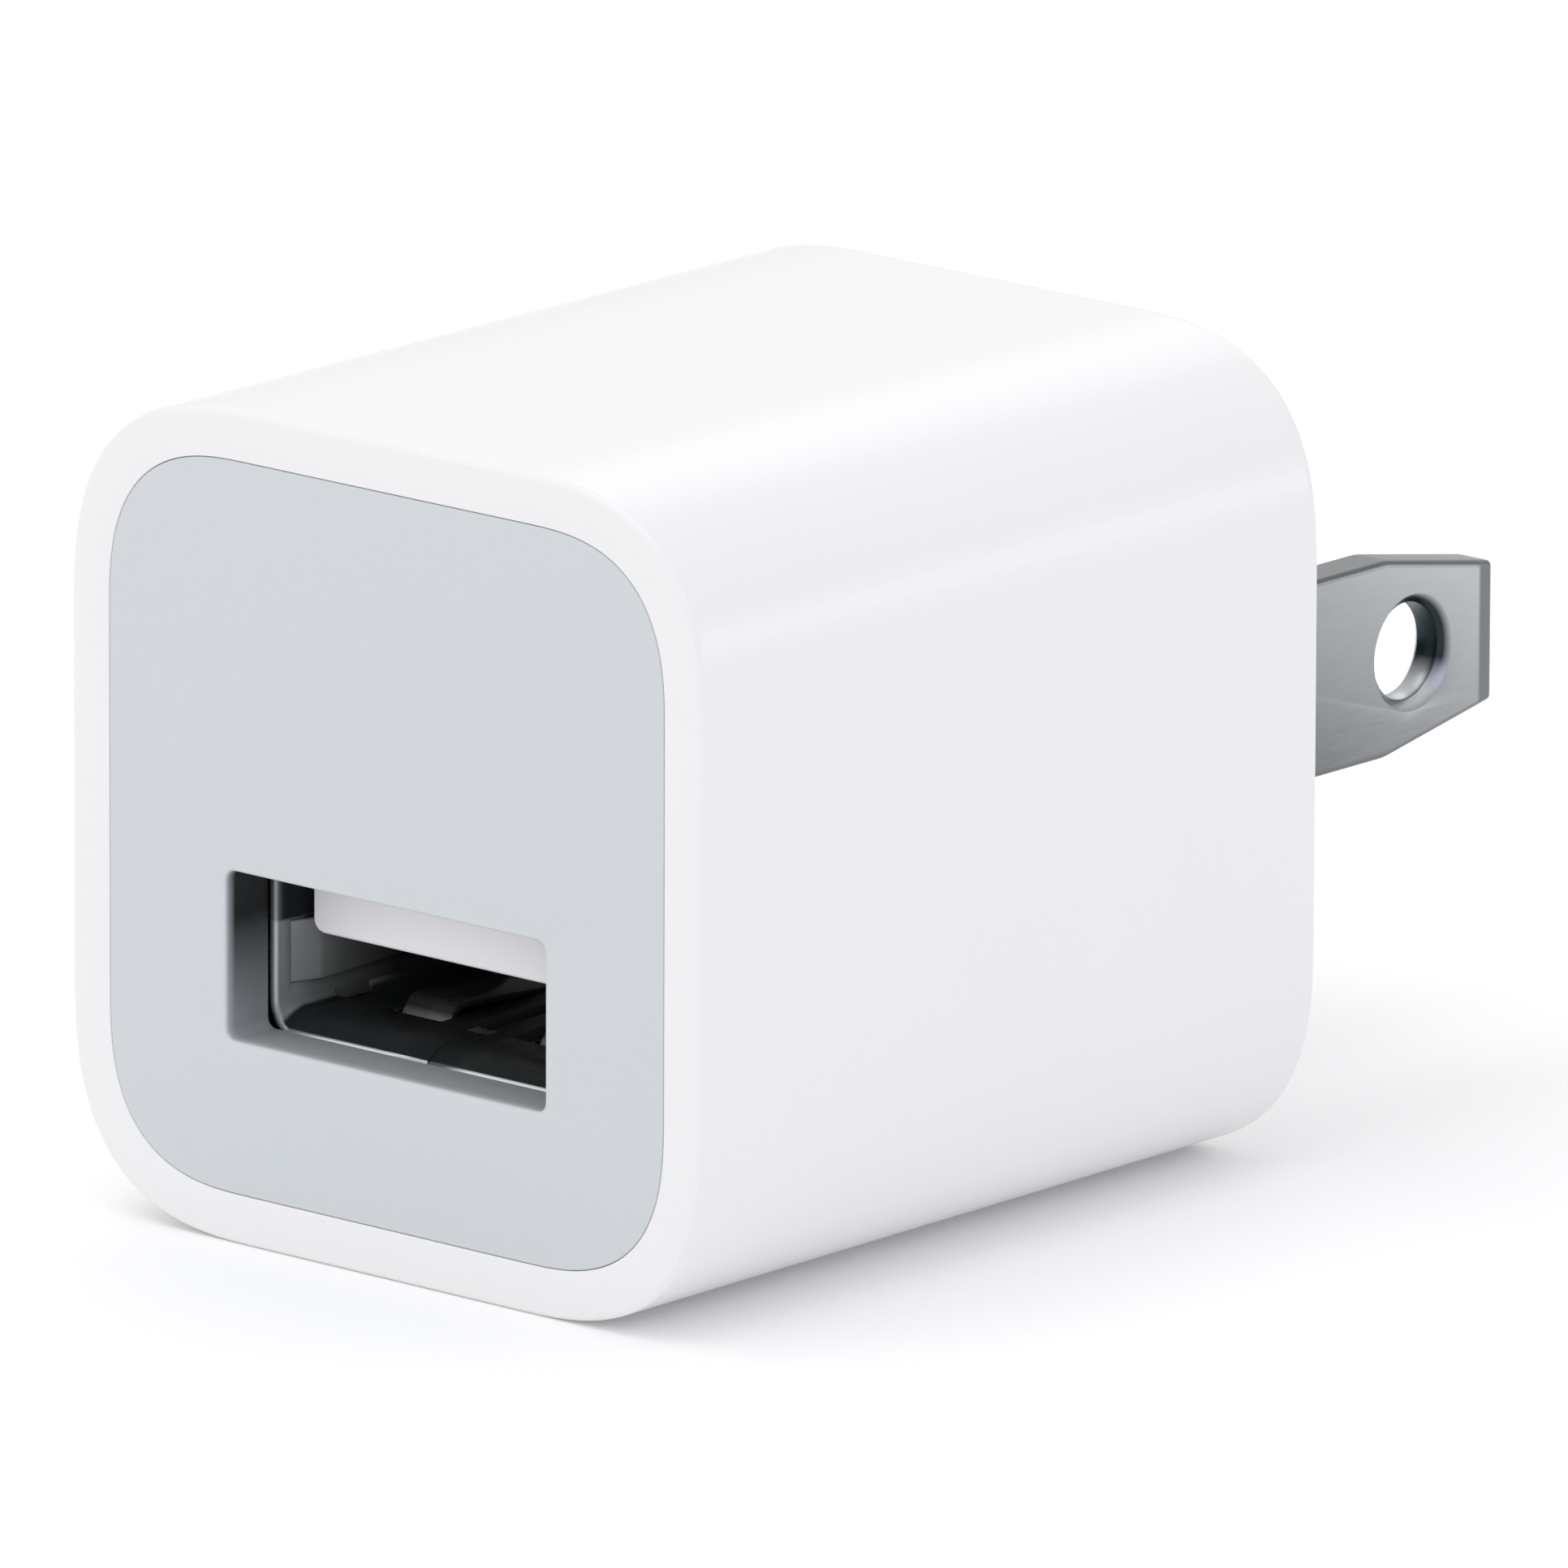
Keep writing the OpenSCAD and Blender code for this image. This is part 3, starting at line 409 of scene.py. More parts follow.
def fingerTin(name, bright, shaded, brightTo, shadedFrom, metallic):
    # painted light at the free end, a glint on the flat fingers and a lit patch on the side ones; painted
    # shade towards the root
    paint = Paint(name, Metallic=metallic)
    streaks = paint.noise(8.0, (1, 0.08, 1), 5.0, 0.65)
    # painted light at the free end, giving way to painted shade towards the root
    paintedTipLight = paint.range(paint.axis("Y"), socket["front"] + shadedFrom, socket["front"] + brightTo)
    colour = paint.mix(paintedTipLight, shaded, bright)
    paint.feed(Base_Color=paint.mix(streaks * 0.1, colour, (1.0, 1.0, 1.0)), Roughness=streaks * 0.1 + 0.2)
    return paint.finished(streaks, 0.0015)


def nickel():
    # drawn streaks along the blade; a painted reflection makes it brighter from its root to its tip and from
    # its lower to its upper edge; the bore gets painted shade above and a painted reflection at its bottom,
    # and the edges and the sheared end are darker
    paint = Paint("bladeNickel", Metallic=1.0)
    y, z = paint.axis("Y"), paint.axis("Z") - blade["z"]
    streaks = paint.noise(9.0, (1, 0.06, 1), 5.0, 0.65)
    # painted reflection: brighter towards the tip and towards the upper edge
    along = paint.range(y + z * 1.7, -4.0, 18.0)
    colour = paint.mix(along, (0.03, 0.036, 0.04), (0.44, 0.46, 0.475))
    fromHole = paint.sum("SQRT", (y - blade["holeY"]) * (y - blade["holeY"]) + z * z)
    bore = paint.range(fromHole, 1.95, 1.75)
    end = paint.range(y, blade["length"] - 0.75, blade["length"] - 0.6)
    taper = (blade["width"] - blade["tipWidth"]) / 2 / (blade["length"] - blade["taperStart"])
    fromEdge = paint.size(z) + paint.sum("MAXIMUM", y - blade["taperStart"], 0.0) * taper
    edge = paint.range(fromEdge, blade["width"] / 2 - 0.25, blade["width"] / 2 - 0.1)
    colour = paint.mix(streaks * 0.14, colour, (1.0, 1.0, 1.0))
    # painted shade in the bore's upper part and a painted reflection at its bottom
    colour = paint.mix(bore, colour,
                       paint.mix(paint.range(z, -0.5, -1.5), (0.03, 0.04, 0.045), (0.55, 0.57, 0.58)))
    colour = paint.mix(edge * 0.9, colour, (0.13, 0.137, 0.143))
    paint.feed(Base_Color=paint.mix(end, colour, (0.19, 0.2, 0.21)), Roughness=streaks * 0.1 + 0.26)
    return paint.finished(streaks, 0.0015)


casingPlastic = whitePlastic("casingPlastic", (0.84, 0.84, 0.842), 0.25,
                             {"perMm": 3.0, "fine": 0.25, "depth": 0.003})
platePlastic = plateGrey()
tonguePlastic = whitePlastic("tonguePlastic", (0.97, 0.965, 0.99), 0.42,
                             {"perMm": 6.0, "fine": 0.8, "depth": 0.004})
bladeNickel = nickel()
shieldTin = socketTin()
# painted glints at the tips of the roof and floor fingers, a painted lit patch on the side fingers, painted
# shade towards the roots
flatFingerTin = fingerTin("flatFingerTin", (0.75, 0.77, 0.78), (0.02, 0.023, 0.025), 2.95, 3.3, 0.5)
sideFingerTin = fingerTin("sideFingerTin", (0.34, 0.362, 0.37), (0.02, 0.022, 0.024), 0.8, 5.5, 0.2)
contactGold = metalSheet("contactGold", (0.83, 0.62, 0.28), 0.24, 1)
stripBrass = metalSheet("stripBrass", (0.70, 0.55, 0.27), 0.34, 2)
blackMoulding = moulding("blackMoulding", (0.022, 0.022, 0.024), 0.48)


# casing and end plate

casing = {"cornerSize": 7.6, "cornerPower": 2.7, "rimCornerSize": 5.66, "cavityCornerSize": 4.1, "rim": 1.62,
          "ledge": 2.0, "wall": 2.0,
          "frontEdge": 0.2, "backEdge": 0.4, "innerEdge": 0.05, "cornerSteps": 28,
          "pocketFrom": -23.3, "pocketTo": -21.1, "pocketLow": 0.8, "pocketHigh": 7.2, "pocketDepth": 0.7,
          "slotGap": 0.04, "rails": ({"width": 0.9, "from": -24.0, "to": -6.0, "top": -8.2},
                                     {"width": 1.2, "from": -20.4, "to": -13.6, "top": 8.6})}
plate = {"thickness": 2.0, "gap": 0.02, "frontEdge": 0.05, "cutout": (13.4, 5.5), "cutoutZ": -4.15,
         "cutoutR": 0.35, "cutoutEdge": 0.12, "armFrom": 10.05, "armThickness": 1.1, "armZ": 4.0,
         "armWidth": 6.0, "armLength": 6.5, "barb": 0.6, "barbLength": 1.6}


def casingOutline(inset, cornerSize, power=casing["cornerPower"]):
    # the casing's outline moved inwards, with two points on each side wall where a pocket begins and ends
    width, _, height = shellHigh - shellLow - 2 * inset
    outline = roundedOutline(width, height, cornerSize, power, casing["cornerSteps"])
    twoCorners = 2 * (casing["cornerSteps"] + 1)
    x, low = width / 2, casing["pocketLow"]
    high = min(casing["pocketHigh"], height / 2 - cornerSize - 0.1)
    return np.concatenate([outline[:twoCorners], [[-x, high], [-x, low]], outline[twoCorners:],
                           [[x, low], [x, high]]])


def flatIn(points, y):
    # an outline in X and Z, placed at a depth
    return np.column_stack([points[:, 0], np.full(len(points), y), points[:, 1]])


def makeCasing():
    # the outline runs through (inset, depth) steps from the back edge to the rim, then into the cavity
    form = Form()
    depth, ledgeY = backY - frontY, frontY + casing["ledge"]
    rings = [flatIn(shrunk(casingOutline(0, casing["cornerSize"]), inset), backY - height)
             for inset, height in softSide(depth, casing["backEdge"], casing["frontEdge"], 5)]
    opening = casingOutline(casing["rim"], casing["rimCornerSize"])
    rings += [flatIn(shrunk(opening, -inset), frontY + height)
              for inset, height in softSide(casing["ledge"], casing["innerEdge"])[:nearSteps]]
    rings.append(flatIn(opening, ledgeY))
    cavity = casingOutline(casing["wall"], casing["cavityCornerSize"], 2.0)
    pocketY = (casing["pocketFrom"], casing["pocketTo"])
    rings += [flatIn(cavity, y) for y in (ledgeY, *pocketY, -casing["wall"])]
    keep = np.ones((len(rings) - 1, len(cavity)), bool)
    leftPocket, rightPocket = 2 * (casing["cornerSteps"] + 1), len(cavity) - 2
    keep[-2, [leftPocket, rightPocket]] = False
    form.loft(rings, keep)
    for sideX, at in ((-1, leftPocket), (1, rightPocket)):
        z = cavity[[at, at + 1, at + 1, at], 1]
        mouth = np.column_stack([cavity[[at] * 4, 0], np.repeat(pocketY, 2), z])
        form.loft([mouth, mouth + [sideX * casing["pocketDepth"], 0, 0]])
        form.cap(mouth + [sideX * casing["pocketDepth"], 0, 0])
    slots = []
    gap = casing["slotGap"]
    for sideX in (-1, 1):
        slot = roundedOutline(blade["thickness"] + 2 * gap, blade["width"] + 2 * gap, 0.1, steps=3,
                              centre=(sideX * blade["pitch"] / 2, blade["z"]))
        slots.append([flatIn(shrunk(slot, -inset), backY - height)
                      for inset, height in softSide(casing["wall"], 0.06)])
        form.loft(slots[-1])
    form.cap(rings[0], *[slot[0] for slot in slots])
    form.cap(rings[-1], *[slot[-1] for slot in slots])
    for rail in casing["rails"]:
        for sideX in (-1, 1):
            width = rail["width"] + 0.4
            middle = (sideX * (cavity[:, 0].max() - rail["width"] + width / 2),
                      (rail["from"] + rail["to"]) / 2)
            form.slab(roundedOutline(width, rail["to"] - rail["from"], 0.15, centre=middle),
                      softSide(0.5, 0.1), axesXY, (0, 0, rail["top"] - 0.5))
    return form.piece("casing", casingPlastic, "white_shell", nodes=["outer_shell"])


def makePlate():
    form = Form()
    outline = shrunk(casingOutline(casing["rim"], casing["rimCornerSize"]), plate["gap"])
    cutout = roundedOutline(*plate["cutout"], plate["cutoutR"], centre=(0, plate["cutoutZ"]))
    form.slab(outline, softSide(plate["thickness"], plate["frontEdge"]), axesXZ, (0, frontY, 0),
              [(cutout, softSide(plate["thickness"], plate["cutoutEdge"], 0.02))])
    x, t, y = plate["armFrom"], plate["armThickness"], frontY + plate["thickness"]
    end, barbY = y + plate["armLength"], y + plate["armLength"] - plate["barbLength"]
    arm = bentPath([(x, y - 0.1), (x + t, y - 0.1), (x + t, barbY - 0.3),
                    (x + t + plate["barb"], barbY - 0.1),
                    (x + t, end), (x, end)], [0, 0, 0.2, 0.15, 0.3, 0.3])
    for outline in (arm, mirrored(arm)):
        form.slab(outline, softSide(plate["armWidth"], 0.12), axesXY,
                  (0, 0, plate["armZ"] - plate["armWidth"] / 2))
    return form.piece("endPlate", platePlastic, "grey_plate", nodes=["end_plate"])


# blades: an outline in Y and Z with coined edges, and a hole with a chamfer at each end

def makeBlade(name, node, x):
    tail, w, tip = -blade["tail"], blade["width"] / 2, blade["tipWidth"] / 2
    ear, earY, earEnd = blade["earWidth"] / 2, blade["earFrom"], blade["earFrom"] + blade["earLength"]
    half = [(tail, -w), (earY, -w), (earY, -ear), (earEnd, -ear), (earEnd, -w), (blade["taperStart"], -w),
            (blade["length"], -tip)]
    corners = half + [(y, -z) for y, z in half[::-1]]
    radii = [0.2, 0, 0.15, 0.15, 0, 3.0, blade["tipR"]]
    outline = bentPath(corners, radii + radii[::-1], 6)
    t, c = blade["thickness"], blade["chamfer"]
    hole = circleOutline(blade["holeD"] / 2, (blade["holeY"], 0), 48)
    form = Form()
    form.slab(outline, softSide(t, blade["edge"]), axesYZ, (x - t / 2, 0, blade["z"]),
              [(hole, [(c, 0), (c * 0.9, 0.02), (0.02, c * 0.9), (0, c), (0, t - c), (0.02, t - c * 0.9),
                       (c * 0.9, t - 0.02), (c, t)])])
    return form.piece(name, bladeNickel, "nickel", nodes=[node])


# USB socket


def makeShield():
    # the sheet's middle surface: a rounded rectangle carried along the depth, its four sides flared at
    # the mouth by rise * (1 - s) ^ 1.4, with the quads of windows, notches and the floor slot left out
    half = np.array([socket["width"] + socket["sheet"], socket["height"] + socket["sheet"]]) / 2
    r = socket["cornerR"]
    flat = half - r
    f, clear = finger["x"], finger["width"] / 2 + finger["gap"]
    floorX = [socket["seam"], f - clear, f + clear, socket["slotHalf"], socket["roofLip"]]
    sideClear = finger["width"] / 2 + finger["sideGap"]
    sideZ = [-finger["sideDrop"] - sideClear, -finger["sideDrop"] + sideClear]
    a = np.linspace(0, math.pi / 2, 5)
    lowArc = np.stack([flat[0] + r * np.sin(a), -flat[1] - r * np.cos(a)], 1)
    highArc = (lowArc * [1, -1])[::-1]
    right = np.concatenate([np.column_stack([floorX, np.full(len(floorX), -half[1])]), lowArc,
                            np.column_stack([np.full(2, half[0]), sideZ]), highArc,
                            np.column_stack([floorX[::-1], np.full(len(floorX), half[1])])])
    loop = np.concatenate([right, mirrored(right)])
    sWindow = {"roof": (finger["roof"][0] - finger["gap"], finger["roof"][2] + finger["rootClear"]),
               "side": (finger["side"][0] - finger["sideGap"], finger["side"][2] + finger["rootClear"])}
    legSpan = [(s - socket["legLength"] / 2, s + socket["legLength"] / 2) for s in socket["legs"]]
    s = np.unique(np.round([0, 0.15, 0.3, 0.7, socket["lipLength"], *sWindow["roof"], *sWindow["side"],
                            *np.ravel(legSpan), socket["slotFrom"], socket["length"] - socket["sheet"],
                            socket["length"] - socket["sheet"] / 2], 4))
    flared = np.clip((np.abs(loop[:, 1]) - flat[1]) / r, 0, 1) ** 2
    flare = socket["lipRise"] * np.clip(1 - s / socket["lipLength"], 0, 1) ** 1.4
    rings = np.repeat(loop[None], len(s), 0)
    rings[:, :, 1] += flare[:, None] * flared * np.sign(loop[:, 1])
    onSide = np.clip((np.abs(loop[:, 0]) - flat[0]) / r, 0, 1) ** 2
    rings[:, :, 0] += (socket["sideRise"] / socket["lipRise"] * flare)[:, None] * onSide * np.sign(loop[:, 0])
    middle = (loop + np.roll(loop, -1, 0)) / 2
    x, z = np.abs(middle).T
    cornerQuad = (x > socket["roofLip"]) & (z > flat[1])
    floorQuad = middle[:, 1] < -half[1] + tiny
    roofQuad = middle[:, 1] > half[1] - tiny
    sideQuad = x > half[0] - tiny
    mid = ((s[1:] + s[:-1]) / 2)[:, None]

    def span(low, high):
        return (mid > low) & (mid < high)

    gone = floorQuad & (x < socket["slotHalf"]) & span(socket["slotFrom"], socket["length"] - socket["sheet"])
    gone = gone | ((floorQuad | roofQuad) & (np.abs(x - f) < clear) & span(*sWindow["roof"]))
    gone = gone | (sideQuad & (np.abs(middle[:, 1] + finger["sideDrop"]) < sideClear)
                   & span(*sWindow["side"]))
    gone = gone | (floorQuad & (x < socket["seam"] + tiny))
    for low, high in legSpan:
        gone = gone | (cornerQuad & (middle[:, 1] < 0) & span(low, high))
    form = Form()
    y = socket["front"] + s
    tube = np.stack([np.column_stack([ring[:, 0], np.full(len(ring), depth), ring[:, 1] + socket["z"]])
                     for ring, depth in zip(rings, y)])
    form.loft(tube, ~gone)
    form.cap(tube[-1])
    for sideX in (-1, 1):
        for low, high in legSpan:
            top, bottom = socket["z"] - flat[1], socket["legBottom"]
            yLow, yHigh = socket["front"] + low, socket["front"] + high
            inner = s[(s > low - tiny) & (s < high + tiny)] + socket["front"]
            grid = [np.column_stack([np.full(len(inner), sideX * half[0]),
                                     np.clip(inner, yLow + pinch, yHigh - pinch), np.full(len(inner), level)])
                    for level, pinch in ((top, 0), (bottom + 0.6, 0), (bottom, 0.35))]
            count = len(inner)
            form.add(np.concatenate(grid), [[i * count + j, i * count + j + 1, (i + 1) * count + j + 1,
                                             (i + 1) * count + j]
                                            for i in range(2) for j in range(count - 1)])
    piece = form.piece("socketShield", shieldTin, "tin_sheet", nodes=["usb_shield"])
    wall = piece.modifiers.new("sheet", "SOLIDIFY")
    wall.thickness, wall.offset, wall.use_even_offset = socket["sheet"] * mm, 0, True
    return piece


def makeTongue():
    # the tongue's outline runs along the depth: its front edge is rounded, and from the groove's start
    # on, the bottom points between the sides of each groove rise by the groove's depth
    w, t, r = tongue["width"], tongue["thickness"], tongue["cornerR"]
    middleZ = socket["z"] + 0.05 + t / 2
    cornerSteps = 6
    arcs = roundedOutline(w, t, r, steps=cornerSteps)
    threeCorners = 3 * (cornerSteps + 1)
    grooves = np.array([(x + dx, deep) for x in contact["x"]
                        for dx, deep in ((-tongue["grooveWidth"] / 2, 0), (-tongue["grooveWidth"] / 2, 1),
                                         (tongue["grooveWidth"] / 2, 1), (tongue["grooveWidth"] / 2, 0))])

    def ring(s, inset, depth):
        bottom = np.column_stack([grooves[:, 0], -t / 2 + inset + grooves[:, 1] * depth])
        around = shrunk(arcs, inset)
        outline = np.concatenate([around[:threeCorners], bottom, around[threeCorners:]])
        return flatIn(outline + [0, middleZ], socket["front"] + s)

    front = softSide(2, tongue["frontEdge"])[:nearSteps]
    rings = [ring(tongue["from"] + height, inset, 0) for inset, height in front]
    rings += [ring(tongue["grooveFrom"], 0, 0), ring(tongue["grooveFrom"] + 0.001, 0, tongue["grooveDepth"]),
              ring(tongue["blockFrom"] + 0.4, 0, tongue["grooveDepth"])]
    form = Form()
    form.loft(rings)
    form.cap(rings[0])
    form.cap(rings[-1])
    block = roundedOutline(socket["width"] - 0.12, socket["height"] - 0.12, 0.35, centre=(0, socket["z"]))
    form.slab(block, softSide(tongue["blockTo"] - tongue["blockFrom"], 0.15), axesXZ,
              (0, socket["front"] + tongue["blockFrom"], 0))
    return form.piece("socketTongue", tonguePlastic, "white_insulator", nodes=["usb_insulator"])


def makeContacts():
    # each spring: from its root down to the knee, then up to the tip, with round bends
    rootZ, tipZ = socket["z"] + 0.5, socket["z"] + 0.35
    depth = socket["front"]
    t = contact["thickness"]
    for i, x in enumerate(contact["x"]):
        form = Form()
        knee = [(contact["kneeS"] + 0.45, contact["kneeZ"]), (contact["kneeS"] - 0.35, contact["kneeZ"])]
        path = bentPath([(contact["rootS"] + t / 2, rootZ), *knee, (contact["tipS"], tipZ)], 0.5,
                        closed=False)
        form.strip(path, contact["width"], t, axesYZ, (x, depth, 0))
        form.piece(f"contactSpring{i + 1}", contactGold, "gold_contact", f"contact_spring_{i + 1}",
                   [f"usb_contact_{i + 1}"])
    leads = Form()
    low, high, _ = boxOf("contact_leads")
    for x in contact["x"]:
        start = depth + contact["rootS"] + t / 2 + 0.05
        leads.strip([(start, rootZ), (high[1] - 0.3, rootZ)], contact["width"], t, axesYZ, (x, 0, 0))
        leads.strip(bentPath([(start + 1.2, rootZ), (high[1] - t / 2, rootZ), (high[1] - t / 2, low[2])], 0.3,
                             closed=False), contact["legWidth"], t, axesYZ, (x, 0, 0))
    leads.piece("contactLeads", contactGold, "gold_contact", nodes=["contact_leads"])


def makeFingers():
    # each finger is drawn over its own wall: u runs along the depth, v away from the wall into the socket
    t, z = finger["thickness"], socket["z"]
    halfH, halfW = socket["height"] / 2, socket["width"] / 2
    walls = {"roof_left": ((0, 0, -1), (1, 0, 0), (-finger["x"], z + halfH)),
             "roof_right": ((0, 0, -1), (1, 0, 0), (finger["x"], z + halfH)),
             "floor_left": ((0, 0, 1), (1, 0, 0), (-finger["x"], z - halfH)),
             "floor_right": ((0, 0, 1), (1, 0, 0), (finger["x"], z - halfH)),
             "side_left": ((1, 0, 0), (0, 0, 1), (-halfW, z - finger["sideDrop"])),
             "side_right": ((-1, 0, 0), (0, 0, 1), (halfW, z - finger["sideDrop"]))}
    for name, (inward, across, (x, height)) in walls.items():
        tip, knee, root, rise = finger[name.split("_")[0]]
        base = -socket["sheet"] / 2
        curl = (tip, base) if "side" in name else (tip + 0.42, base - 0.2)
        path = bentPath([(root + t / 2, base), (knee + 0.4, rise - t / 2), (knee - 0.3, rise - t / 2), curl],
                        0.4, closed=False)
        form = Form()
        form.strip(path, finger["width"], t, ((0, 1, 0), inward, across), (x, socket["front"], height), 0.05)
        form.piece("finger" + name.title().replace("_", ""),
                   sideFingerTin if "side" in name else flatFingerTin, "tin_sheet", "finger_" + name,
                   ["shield_finger_" + name])


makeCasing()
makePlate()
makeBlade("bladeLeft", "blade_left", -blade["pitch"] / 2)
makeBlade("bladeRight", "blade_right", blade["pitch"] / 2)
print("casing, end plate and blades made")
makeShield()
makeTongue()
makeContacts()
makeFingers()
print("socket made")


# inside the casing

def boardGreen():
    # solder mask over copper: groups of parallel tracks where slow noise is high, fine weave in colour
    # and bump
    paint = Paint("boardGreen")
    rows = paint.node("ShaderNodeTexBrick", {"offset": 0.37, "squash": 1.6},
                      {"Vector": paint.place(), "Scale": 1.0, "Mortar Size": 0.13, "Mortar Smooth": 0.1,
                       "Brick Width": 9.0, "Row Height": 0.62}, 1)
    tracks = rows * paint.range(paint.noise(0.22, detail=1.0), 0.52, 0.53)
    weave = paint.noise(3.5, (1, 1, 0.2), 4.0)
    colour = paint.mix(weave, (0.012, 0.085, 0.03), (0.02, 0.12, 0.045))
    paint.feed(Base_Color=paint.mix(tracks, colour, (0.03, 0.17, 0.065)), Roughness=weave * 0.12 + 0.26)
    return paint.finished(tracks * 0.7 + weave * 0.3, 0.03)


def sleeve(name, colour, centre, along, d, stripe):
    # a shrunk sleeve with a stripe down one side; inside its rim the near end is metal with a scored
    # cross and the far end is rubber. u and v cross the can's axis, w runs along it from the near end
    paint = Paint(name)
    u, v, w = (paint.axis("XYZ"[i]) - centre[i] for i in ((along + 1) % 3, (along + 2) % 3, along))
    ripple = paint.noise(1.2, detail=3.0)
    inner = paint.range(paint.sum("SQRT", u * u + v * v), d / 2 - 0.62, d / 2 - 0.68)
    metal = inner * paint.range(w, 1.1, 1.0)
    scored = paint.sum("MAXIMUM", paint.range(paint.size(u + v), 0.16, 0.1),
                       paint.range(paint.size(u - v), 0.16, 0.1)) * metal
    side = paint.mix(ripple, shade(colour, -0.1), shade(colour, 0.15))
    side = paint.mix(paint.range(u, d * 0.36, d * 0.37), side, stripe)
    side = paint.mix(inner, side, (0.02, 0.02, 0.022))
    paint.feed(Base_Color=paint.mix(metal, side, paint.mix(scored, (0.6, 0.61, 0.62), (0.22, 0.22, 0.23))),
               Metallic=metal, Roughness=ripple * 0.1 + metal * 0.1 + 0.2)
    return paint.finished(ripple * 0.4 - scored * 0.6 + 0.6, 0.04)


def bareCan(name, centre, d):
    # spun aluminium: streaks round the can, finer along its height, with a scored cross on its end
    paint = Paint(name, Metallic=1.0)
    u, v = paint.axis("X") - centre[0], paint.axis("Y") - centre[1]
    rings = paint.noise(2.0, (0.15, 0.15, 6), 4.0)
    line = paint.sum("MINIMUM", paint.size(u + v), paint.size(u - v))
    scored = paint.range(line, 0.16, 0.1) * paint.range(u * u + v * v, d * d * 0.16, d * d * 0.14)
    scored = scored * paint.range(paint.axis("Z"), centre[2], centre[2] + 0.1)
    colour = paint.mix(rings, (0.60, 0.61, 0.62), (0.76, 0.77, 0.78))
    paint.feed(Base_Color=paint.mix(scored, colour, (0.25, 0.25, 0.26)), Roughness=rings * 0.14 + 0.2)
    return paint.finished(rings * 0.3 + 0.7 - scored * 0.7, 0.03)


def tape():
    # thin film: slow wrinkles in bump and gloss, and lap lines one strip apart in the colour
    paint = Paint("yellowTape", Coat_Weight=0.3)
    wrinkle = paint.noise(0.7, (1, 1, 2.5), 4.0)
    lap = paint.node("ShaderNodeTexWave", {"bands_direction": "Z", "wave_profile": "SAW"},
                     {"Vector": paint.place(), "Scale": 0.09, "Distortion": 0.4}, 1)
    colour = paint.mix(wrinkle, (0.72, 0.42, 0.03), (0.86, 0.55, 0.06))
    paint.feed(Base_Color=paint.mix(lap * 0.35, colour, (0.62, 0.34, 0.02)), Roughness=wrinkle * 0.15 + 0.18)
    return paint.finished(wrinkle * 0.7 + lap * 0.3, 0.05)


def wire():
    # enamelled turns: each turn of the wave is lighter at its crown, with painted shade in the gap to the
    # next
    paint = Paint("copperWire", Metallic=0.9)
    turns = paint.node("ShaderNodeTexWave", {"bands_direction": "Z"},
                       {"Vector": paint.place(), "Scale": 1.03}, 1)
    clouds = paint.noise(0.8)
    colour = paint.mix(clouds, (0.62, 0.25, 0.09), (0.78, 0.36, 0.15))
    # painted shade in the gaps between turns
    paint.feed(Base_Color=paint.mix(turns, (0.4, 0.15, 0.05), colour), Roughness=clouds * 0.1 + 0.22)
    return paint.finished(turns, 0.04)


def banded(centreZ):
    # cement coating with four painted rings, grain in colour and bump
    paint = Paint("resistorCoat")
    grain = paint.noise(4.0, detail=4.0)
    z = paint.axis("Z") - centreZ
    colour = paint.mix(grain, (0.10, 0.26, 0.23), (0.14, 0.33, 0.29))
    for middle, ring in ((-2.3, (0.5, 0.3, 0.02)), (-0.7, (0.02, 0.02, 0.02)), (0.5, (0.15, 0.06, 0.02)),
                         (2.4, (0.6, 0.42, 0.12))):
        colour = paint.mix(paint.range(paint.size(z - middle), 0.3, 0.26), colour, ring)
    paint.feed(Base_Color=colour, Roughness=grain * 0.12 + 0.38)
    return paint.finished(grain, 0.02)


def ferriteCoil(centre):
    # ferrite with copper turns showing in its round groove, where the radius is between the drum and the
    # block; the turns are painted light at their crowns and painted shade between them
    paint = Paint("ferriteCoil")
    x, y = paint.axis("X") - centre[0], paint.axis("Y") - centre[1]
    radius, grain = paint.sum("SQRT", x * x + y * y), paint.noise(5.0, detail=4.0)
    copper = paint.range(radius, coil["drumR"] + 0.02, coil["drumR"] + 0.05)
    copper = copper * paint.range(radius, coil["grooveR"] - 0.02, coil["grooveR"] - 0.05)
    # painted shade between the copper turns, lighter at each turn's crown
    turn = paint.sum("SINE", radius * 18) * 0.5 + 0.5
    colour = paint.mix(copper, paint.mix(grain, (0.045, 0.045, 0.05), (0.075, 0.075, 0.08)),
                       paint.mix(turn, (0.32, 0.12, 0.04), (0.72, 0.33, 0.14)))
    paint.feed(Base_Color=colour, Metallic=copper * 0.9, Roughness=0.6 - copper * 0.3 + grain * 0.1)
    return paint.finished(grain * 0.3 + copper * turn * 0.7, 0.04)


